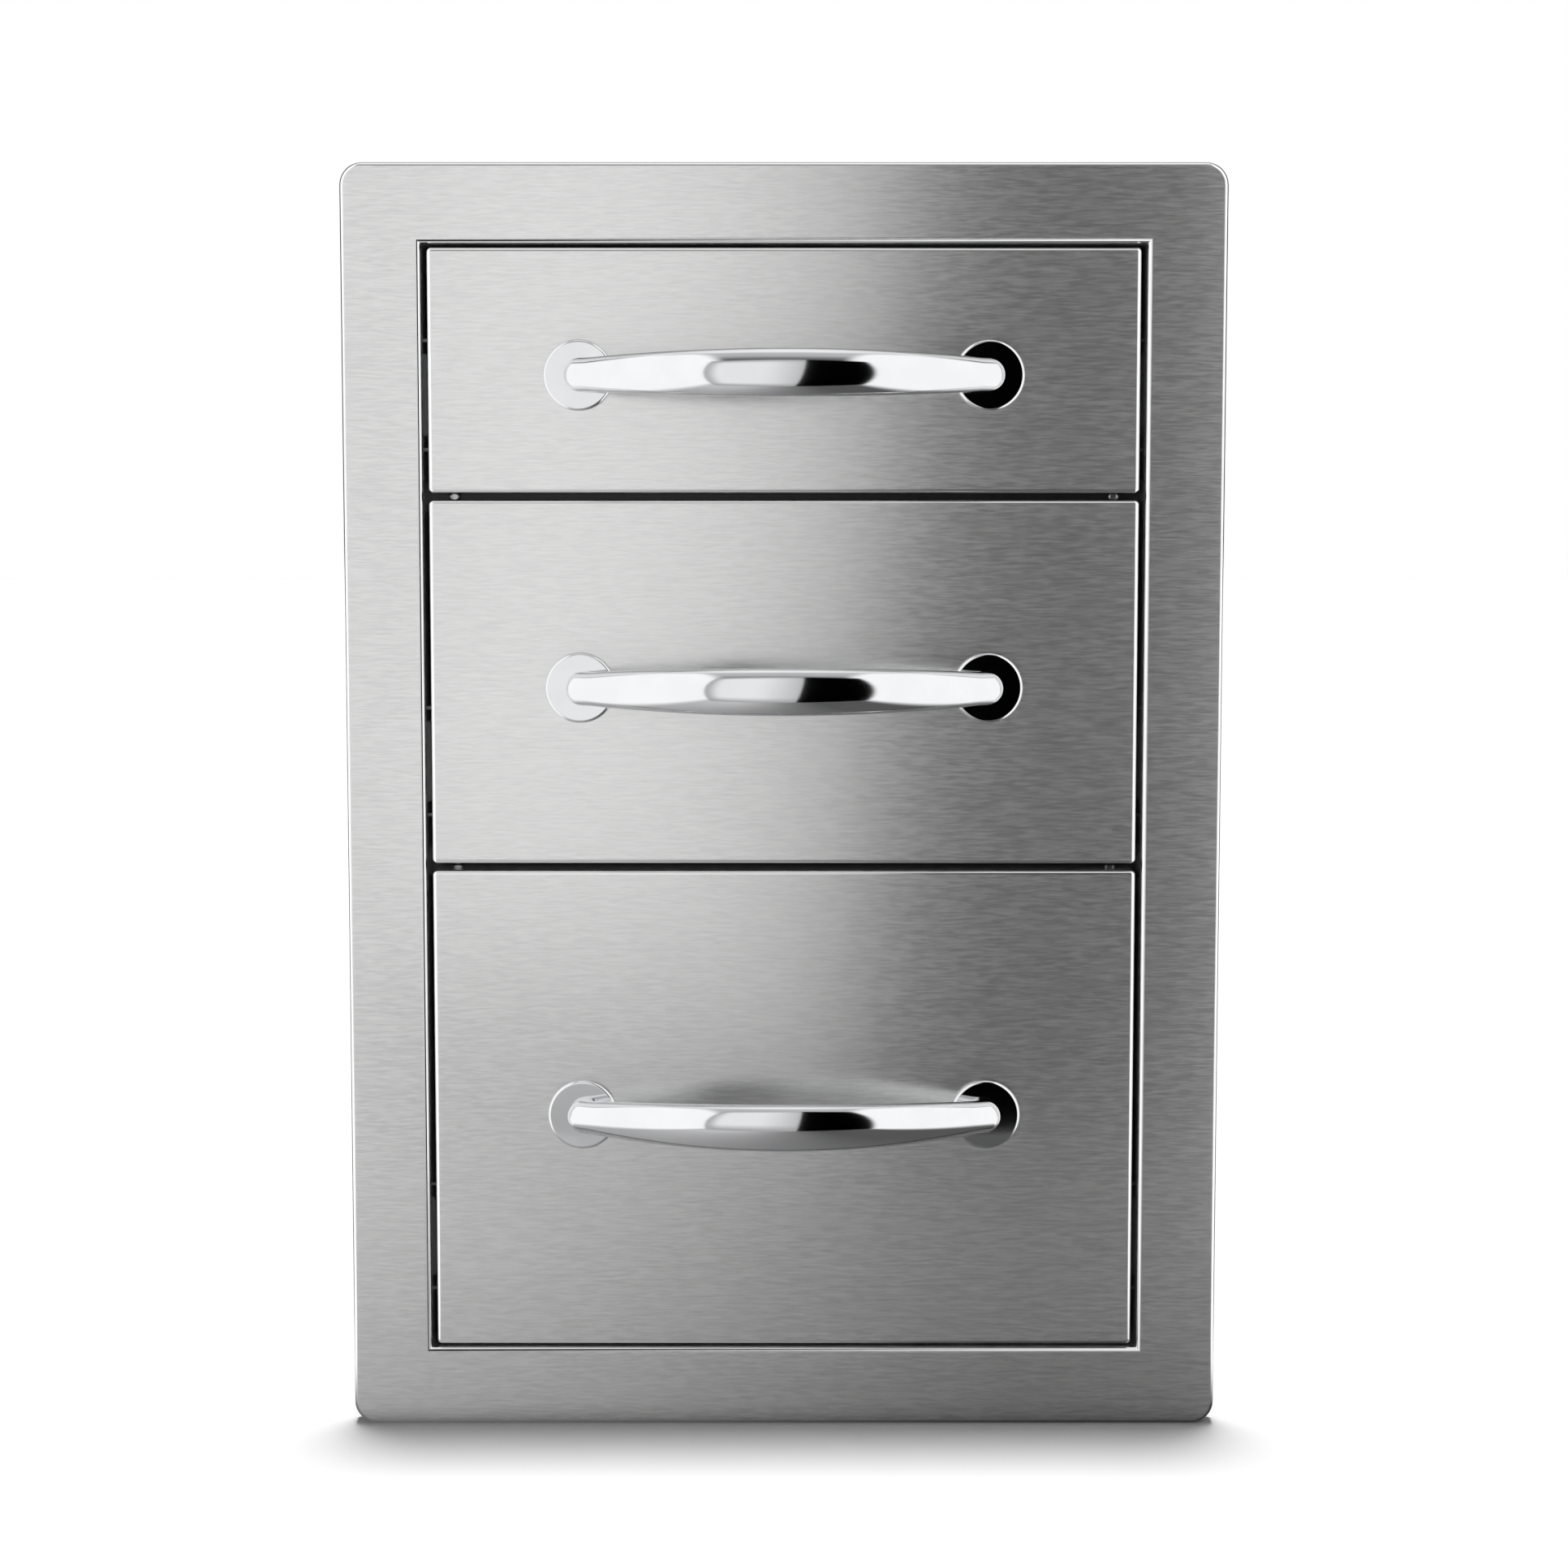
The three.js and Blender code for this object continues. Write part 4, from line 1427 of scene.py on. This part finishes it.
@dataclass
class DrawerTub:
    """The open box of a drawer, with a hem folded in along its top edge and rivets to its slides."""

    drawer: str
    floor: float
    height: float
    half_width: float = 134.3 * MM
    front: float = 8.3 * MM
    rear: float = 528.0 * MM
    rise: float = 10.0 * MM
    drop: float = 22.0 * MM
    sheet: float = 0.75 * MM
    fold_radius: float = 2.3 * MM
    hem_width: float = 1.65 * MM
    hem_height: float = 8.0 * MM
    hem_radius: float = 0.7 * MM
    hem_steps: int = 3
    bead: tuple[Place, Place] = ((-96 * MM, 60 * MM, 0), (96 * MM, 470 * MM, 0))
    bead_depth: float = -1.0 * MM
    bead_slope: float = 5 * MM
    rivet_rise: float = 40.0 * MM
    rivet_places: tuple[float, ...] = (49 * MM, 267 * MM, 485 * MM)
    rivet: RoundHead = RoundHead(
        radius=3.4 * MM, height=1.2 * MM, socket_radius=0.9 * MM, socket_depth=0.6 * MM
    )

    def build(self) -> None:
        """Folds the tub, hems it and sets its rivets."""
        piece = Workpiece()
        bottom = self.floor + self.rise
        top = self.floor + self.height - self.drop
        piece.folded_box((-self.half_width, self.front, bottom), (self.half_width, self.rear, top),
                         (Way.UP,), self.fold_radius)
        piece.press(Way.DOWN, [self.bead], self.bead_depth, self.bead_slope)
        rim = piece.edges_where(lambda edge: edge.is_boundary)
        middle = (self.front + self.rear) / 2
        half_depth = (self.rear - self.front) / 2
        scale = (1 - self.hem_width / self.half_width, 1 - self.hem_width / half_depth, 1)
        piece.move_out(rim, (0, 0, 0), scale, (0, middle, 0))
        inner_rim = piece.edges_where(lambda edge: edge.is_boundary)
        piece.move_out(inner_rim, (0, 0, -self.hem_height))
        piece.outwards()
        piece.round_edges([edge for edge in rim + inner_rim if edge.is_valid], self.hem_radius,
                          self.hem_steps)
        piece.thicken(self.sheet)
        piece.finish(f"{self.drawer}_tub_folded", f"{self.drawer}_drawer", Slot.SHEET,
                     [f"{self.drawer}_tub"])
        rivets = Workpiece()
        for side in Side:
            wall = side.sign * (self.half_width - self.sheet)
            places = [(wall, place, self.floor + self.rivet_rise) for place in self.rivet_places]
            rivets.heads(self.rivet, places, (-float(side.sign), 0.0, 0.0))
        rivets.finish(f"{self.drawer}_tub_rivets", f"{self.drawer}_drawer", Slot.SCREW)


# Studio


@dataclass(frozen=True)
class ReflectionCard:
    """A card in front of the unit that only the metal's reflections show.

    Its fades say how far inside the left, right, bottom and top edges the tone starts and ends its
    change from edge_tone. Its slants say how far the left and right edges lean to the right.
    """

    name: str
    left: float
    right: float
    tone: float
    edge_tone: float
    fades: tuple[Limits, Limits, Limits, Limits]
    slants: Pair
    bottom: float = -0.004
    top: float = 0.80
    distance: float = 0.57

    def build(self) -> bpy.types.Object:
        """Hangs the card up.

        Returns:
            The card's object.
        """
        piece = Workpiece()
        piece.rectangle(self.right - self.left, self.top - self.bottom)
        middle = (self.bottom + self.top) / 2
        place = ((self.left + self.right) / 2, -self.distance, middle)
        bmesh.ops.translate(piece.bm, vec=place, verts=list(piece.bm.verts))
        for vert in piece.bm.verts:
            slant = self.slants[0] if vert.co.x < place[0] else self.slants[1]
            vert.co.x += slant * (vert.co.z - middle)
        material, board = ShaderBoard.of_material(self.name)
        across, _, up = board.axes()
        left, right, foot, head = self.fades
        above = up - middle
        lit = ((across - self.left - above * self.slants[0]).step(*left)
               * (self.right + above * self.slants[1] - across).step(*right)
               * (up - self.bottom).step(*foot) * (self.top - up).step(*head))
        tone = self.edge_tone + (self.tone - self.edge_tone) * lit
        board.surface(board.node("ShaderNodeEmission", {}, {"Strength": tone}).outputs["Emission"])
        card = piece.stand(self.name, material)
        card.visible_camera = False
        card.visible_diffuse = False
        card.visible_shadow = False
        return card


@dataclass(frozen=True)
class Lamp:
    """A broad lamp that lights the floor and whatever is matt, and that no metal mirrors."""

    name: str
    way: Place
    power: float
    spread: float = math.radians(9.6)

    def build(self, blockers: bpy.types.Collection) -> None:
        """Sets the lamp up.

        Args:
            blockers: The only pieces that it casts shadows of.
        """
        data = bpy.data.lights.new(self.name, "SUN")
        data.angle = self.spread
        data.energy = self.power
        lamp = bpy.data.objects.new(self.name, data)
        lamp.location = -Vector(self.way)
        lamp.rotation_euler = Vector(self.way).to_track_quat("-Z", "Y").to_euler()
        lamp.visible_glossy = False
        lamp.light_linking.blocker_collection = blockers
        bpy.context.scene.collection.objects.link(lamp)


LAMPS = (
    Lamp("overhead_lamp", way=(0.0, -math.tan(math.radians(4.6)), -1.0), power=3.1),
    Lamp("front_lamp", way=(0.0, 1.0, -1.0), power=0.12),
)
CARDS = (
    ReflectionCard("pale_card", left=-0.272, right=0.060, tone=0.97, edge_tone=0.45,
                   fades=((0.0, 0.06), (-0.1, 0.17), (0.0, 0.18), (0.0, 0.14)), slants=(0.0, 0.05)),
    ReflectionCard("black_card", left=0.060, right=0.325, tone=0.0, edge_tone=1.0,
                   fades=((0.0, 0.001), (0.0, 0.025), (0.0, 0.001), (0.0, 0.001)), slants=(0.05, 0.0)),
)


@dataclass(frozen=True)
class Floor:
    """A white floor that keeps the shadow, with the tones that the metal sees on it.

    Limits are where a tone starts and ends its change, in metres to the right or to the rear of the
    frame's origin.
    """

    height: float = -4.5 * MM
    half: float = 14.0
    colour: Colour = (0.93, 0.93, 0.93)
    pale: float = 0.46
    pale_rise: float = 0.17
    pale_rise_limits: Limits = (0.0, 0.57)
    dark: float = 0.11
    dark_limits: Limits = (-0.2, 0.13)
    shadow: float = 0.7
    shadow_limits: Limits = (-0.04, -0.005)
    side: float = 1.15
    side_limits: Limits = (0.19, 0.27)
    side_slant: float = 0.15
    behind: float = 0.05
    behind_limits: Limits = (0.0, 0.1)
    behind_slant: float = 0.02
    far_limits: Limits = (0.0, 0.2)
    far_slant: float = 0.7

    def tone(self, board: ShaderBoard) -> Value:
        """How bright each place of the floor is to the metal.

        Args:
            board: The floor's nodes.

        Returns:
            The tone: a strip in front of the unit that darkens to the right and close to it, bright sides,
            and a dark wedge behind each side.
        """
        across, back, _ = board.axes()
        aside = (abs(across) + back * self.side_slant).step(*self.side_limits)
        pale = self.pale + (0 - back).step(*self.pale_rise_limits) * self.pale_rise
        strip = pale + (self.dark - pale) * across.step(*self.dark_limits)
        strip = strip * (1 - back.step(*self.shadow_limits) * self.shadow)
        behind = ((back - abs(across) * self.behind_slant).step(*self.behind_limits)
                  * (1 - (back - abs(across) * self.far_slant).step(*self.far_limits)))
        sides = self.side + (self.behind - self.side) * behind
        return strip + (sides - strip) * aside

    def build(self) -> None:
        """Lays the floor."""
        piece = Workpiece()
        made = bmesh.ops.create_grid(piece.bm, x_segments=2, y_segments=2, size=self.half)["verts"]
        bmesh.ops.translate(piece.bm, vec=(0, 0, self.height), verts=made)
        material, board = ShaderBoard.of_material("studio_floor")
        glossy = board.node("ShaderNodeLightPath", {}, {}).outputs["Is Glossy Ray"]
        matt = board.node("ShaderNodeBsdfDiffuse", {}, {"Color": self.colour}).outputs["BSDF"]
        glow = board.node("ShaderNodeEmission", {}, {"Strength": self.tone(board)}).outputs["Emission"]
        board.surface(board.node("ShaderNodeMixShader", {}, {0: glossy, 1: matt, 2: glow}).outputs["Shader"])
        piece.stand("studio_floor", material)


@dataclass(frozen=True)
class Surroundings:
    """White to the camera, plain grey to matt surfaces, and a soft box studio to the metal.

    Limits are where a tone starts and ends its change, as parts of a direction of length one.
    """

    matt: float = 0.15
    side: float = 1.15
    ceiling: float = 0.12
    ceiling_edge: Limits = (0.28, 0.36)
    ceiling_foot: Limits = (0.42, 0.5)
    ceiling_cap: Limits = (0.90, 0.94)
    ceiling_rises: tuple[tuple[Limits, float], ...] = (((0.55, 0.85), 0.45), ((0.9, 0.995), 0.5))
    behind: float = 0.05
    beyond: float = 0.9
    beyond_foot: Limits = (0.80, 0.93)
    rear_limits: Limits = (-0.05, 0.1)

    def tone(self, board: ShaderBoard) -> Value:
        """How bright each direction is to the metal.

        Args:
            board: The world's nodes.

        Returns:
            The tone: bright sides and a dark ceiling in front of the unit, and dark behind it.
        """
        across, back, up = board.axes("Generated")
        column = 1 - abs(across).step(*self.ceiling_edge)
        covered = 1 - (1 - column * up.step(*self.ceiling_foot)) * (1 - up.step(*self.ceiling_cap))
        over = self.ceiling
        for limits, rise in self.ceiling_rises:
            over = over + up.step(*limits) * rise
        front = self.side + (over - self.side) * covered
        rear = self.behind + (self.beyond - self.behind) * up.step(*self.beyond_foot)
        return front + (rear - front) * back.step(*self.rear_limits)

    def build(self) -> None:
        """Makes the world."""
        world = bpy.data.worlds.new("studio")
        bpy.context.scene.world = world
        world.use_nodes = True
        board = ShaderBoard(world.node_tree)
        rays = board.node("ShaderNodeLightPath", {}, {}).outputs
        camera = Value(board, rays["Is Camera Ray"])
        glossy = Value(board, rays["Is Glossy Ray"])
        mirrored = glossy * (1 - Value(board, rays["Diffuse Depth"]).step(0.0, 1.0))
        strength = camera + (1 - camera) * (mirrored * self.tone(board) + (1 - mirrored) * self.matt)
        glow = board.node("ShaderNodeBackground", {}, {"Color": (1.0, 1.0, 1.0), "Strength": strength})
        board.node("ShaderNodeOutputWorld", {}, {"Surface": glow.outputs["Background"]})


@dataclass(frozen=True)
class PhotoCamera:
    """The camera, where the photograph was taken from."""

    distance: float = 1.238
    height: float = 0.376
    face: float = -10.0 * MM
    pitch: float = math.radians(5.276)
    focal_pixels: float = 3768.0
    sensor: float = 36.0

    def build(self) -> None:
        """Sets the camera up."""
        data = bpy.data.cameras.new("photo_camera")
        data.sensor_fit = "HORIZONTAL"
        data.sensor_width = self.sensor
        data.lens = self.focal_pixels / PHOTO_SIDE * self.sensor
        camera = bpy.data.objects.new("photo_camera", data)
        camera.location = (0, self.face - self.distance, self.height)
        camera.rotation_euler = (QUARTER_TURN - self.pitch, 0, 0)
        bpy.context.scene.collection.objects.link(camera)
        bpy.context.scene.camera = camera


def build_studio() -> None:
    """Makes the camera, the floor, the surroundings, the lamps and the cards.

    Only the sheet metal shades the floor, because the real floor shows no shadow of the handles.
    """
    bpy.context.scene.view_settings.view_transform = "Standard"
    PhotoCamera().build()
    Floor().build()
    Surroundings().build()
    blockers = bpy.data.collections.new("lamp_blockers")
    for piece in bpy.data.objects:
        if piece.name.endswith("_folded"):
            blockers.objects.link(piece)
    for lamp in LAMPS:
        lamp.build(blockers)
    for card in CARDS:
        card.build()


def dress_carried_nodes() -> None:
    """Gives every CAD node that still shows the finish of its slot."""
    slots = {part["node"]: part.get("material_slot") for part in frame["record"]["subparts"]}
    for name, node in frame["nodes"].items():
        if node.hide_render:
            continue
        node.data.materials.clear()
        node.data.materials.append(SLOT_FINISHES[Slot(slots[name])].material())
        LOG.info("%s: carried over in %s", name, slots[name])


@dataclass(frozen=True)
class Drawer:
    """One drawer: its front's lower edge and height, and how its handle and slides sit on it."""

    name: str
    floor: float
    height: float
    handle_drop: float = 1.9 * MM
    slide_rise: float = 40.0 * MM

    def build(self) -> None:
        """Makes the front, the tub, the handle and both slides."""
        DrawerFront(self.name, self.floor, self.height).build()
        DrawerTub(self.name, self.floor, self.height).build()
        BowHandle(self.name, self.floor + self.height / 2 - self.handle_drop).build()
        for side in Side:
            BallSlide(self.name, side, self.floor + self.slide_rise).build()


RAILS = (DividerRail("upper", height=378.0 * MM), DividerRail("lower", height=227.6 * MM))
DRAWERS = (
    Drawer("top", floor=379.4 * MM, height=98.0 * MM),
    Drawer("middle", floor=229.0 * MM, height=147.6 * MM),
    Drawer("bottom", floor=29.1 * MM, height=197.1 * MM),
)


def main() -> None:
    """Builds the unit, piece by piece, in its studio."""
    logging.basicConfig(level=logging.INFO, format="%(message)s")
    for group in (FaceFrame(), Housing(), *RAILS, *DRAWERS):
        group.build()
    dress_carried_nodes()
    build_studio()


if __name__ == "__main__":
    main()
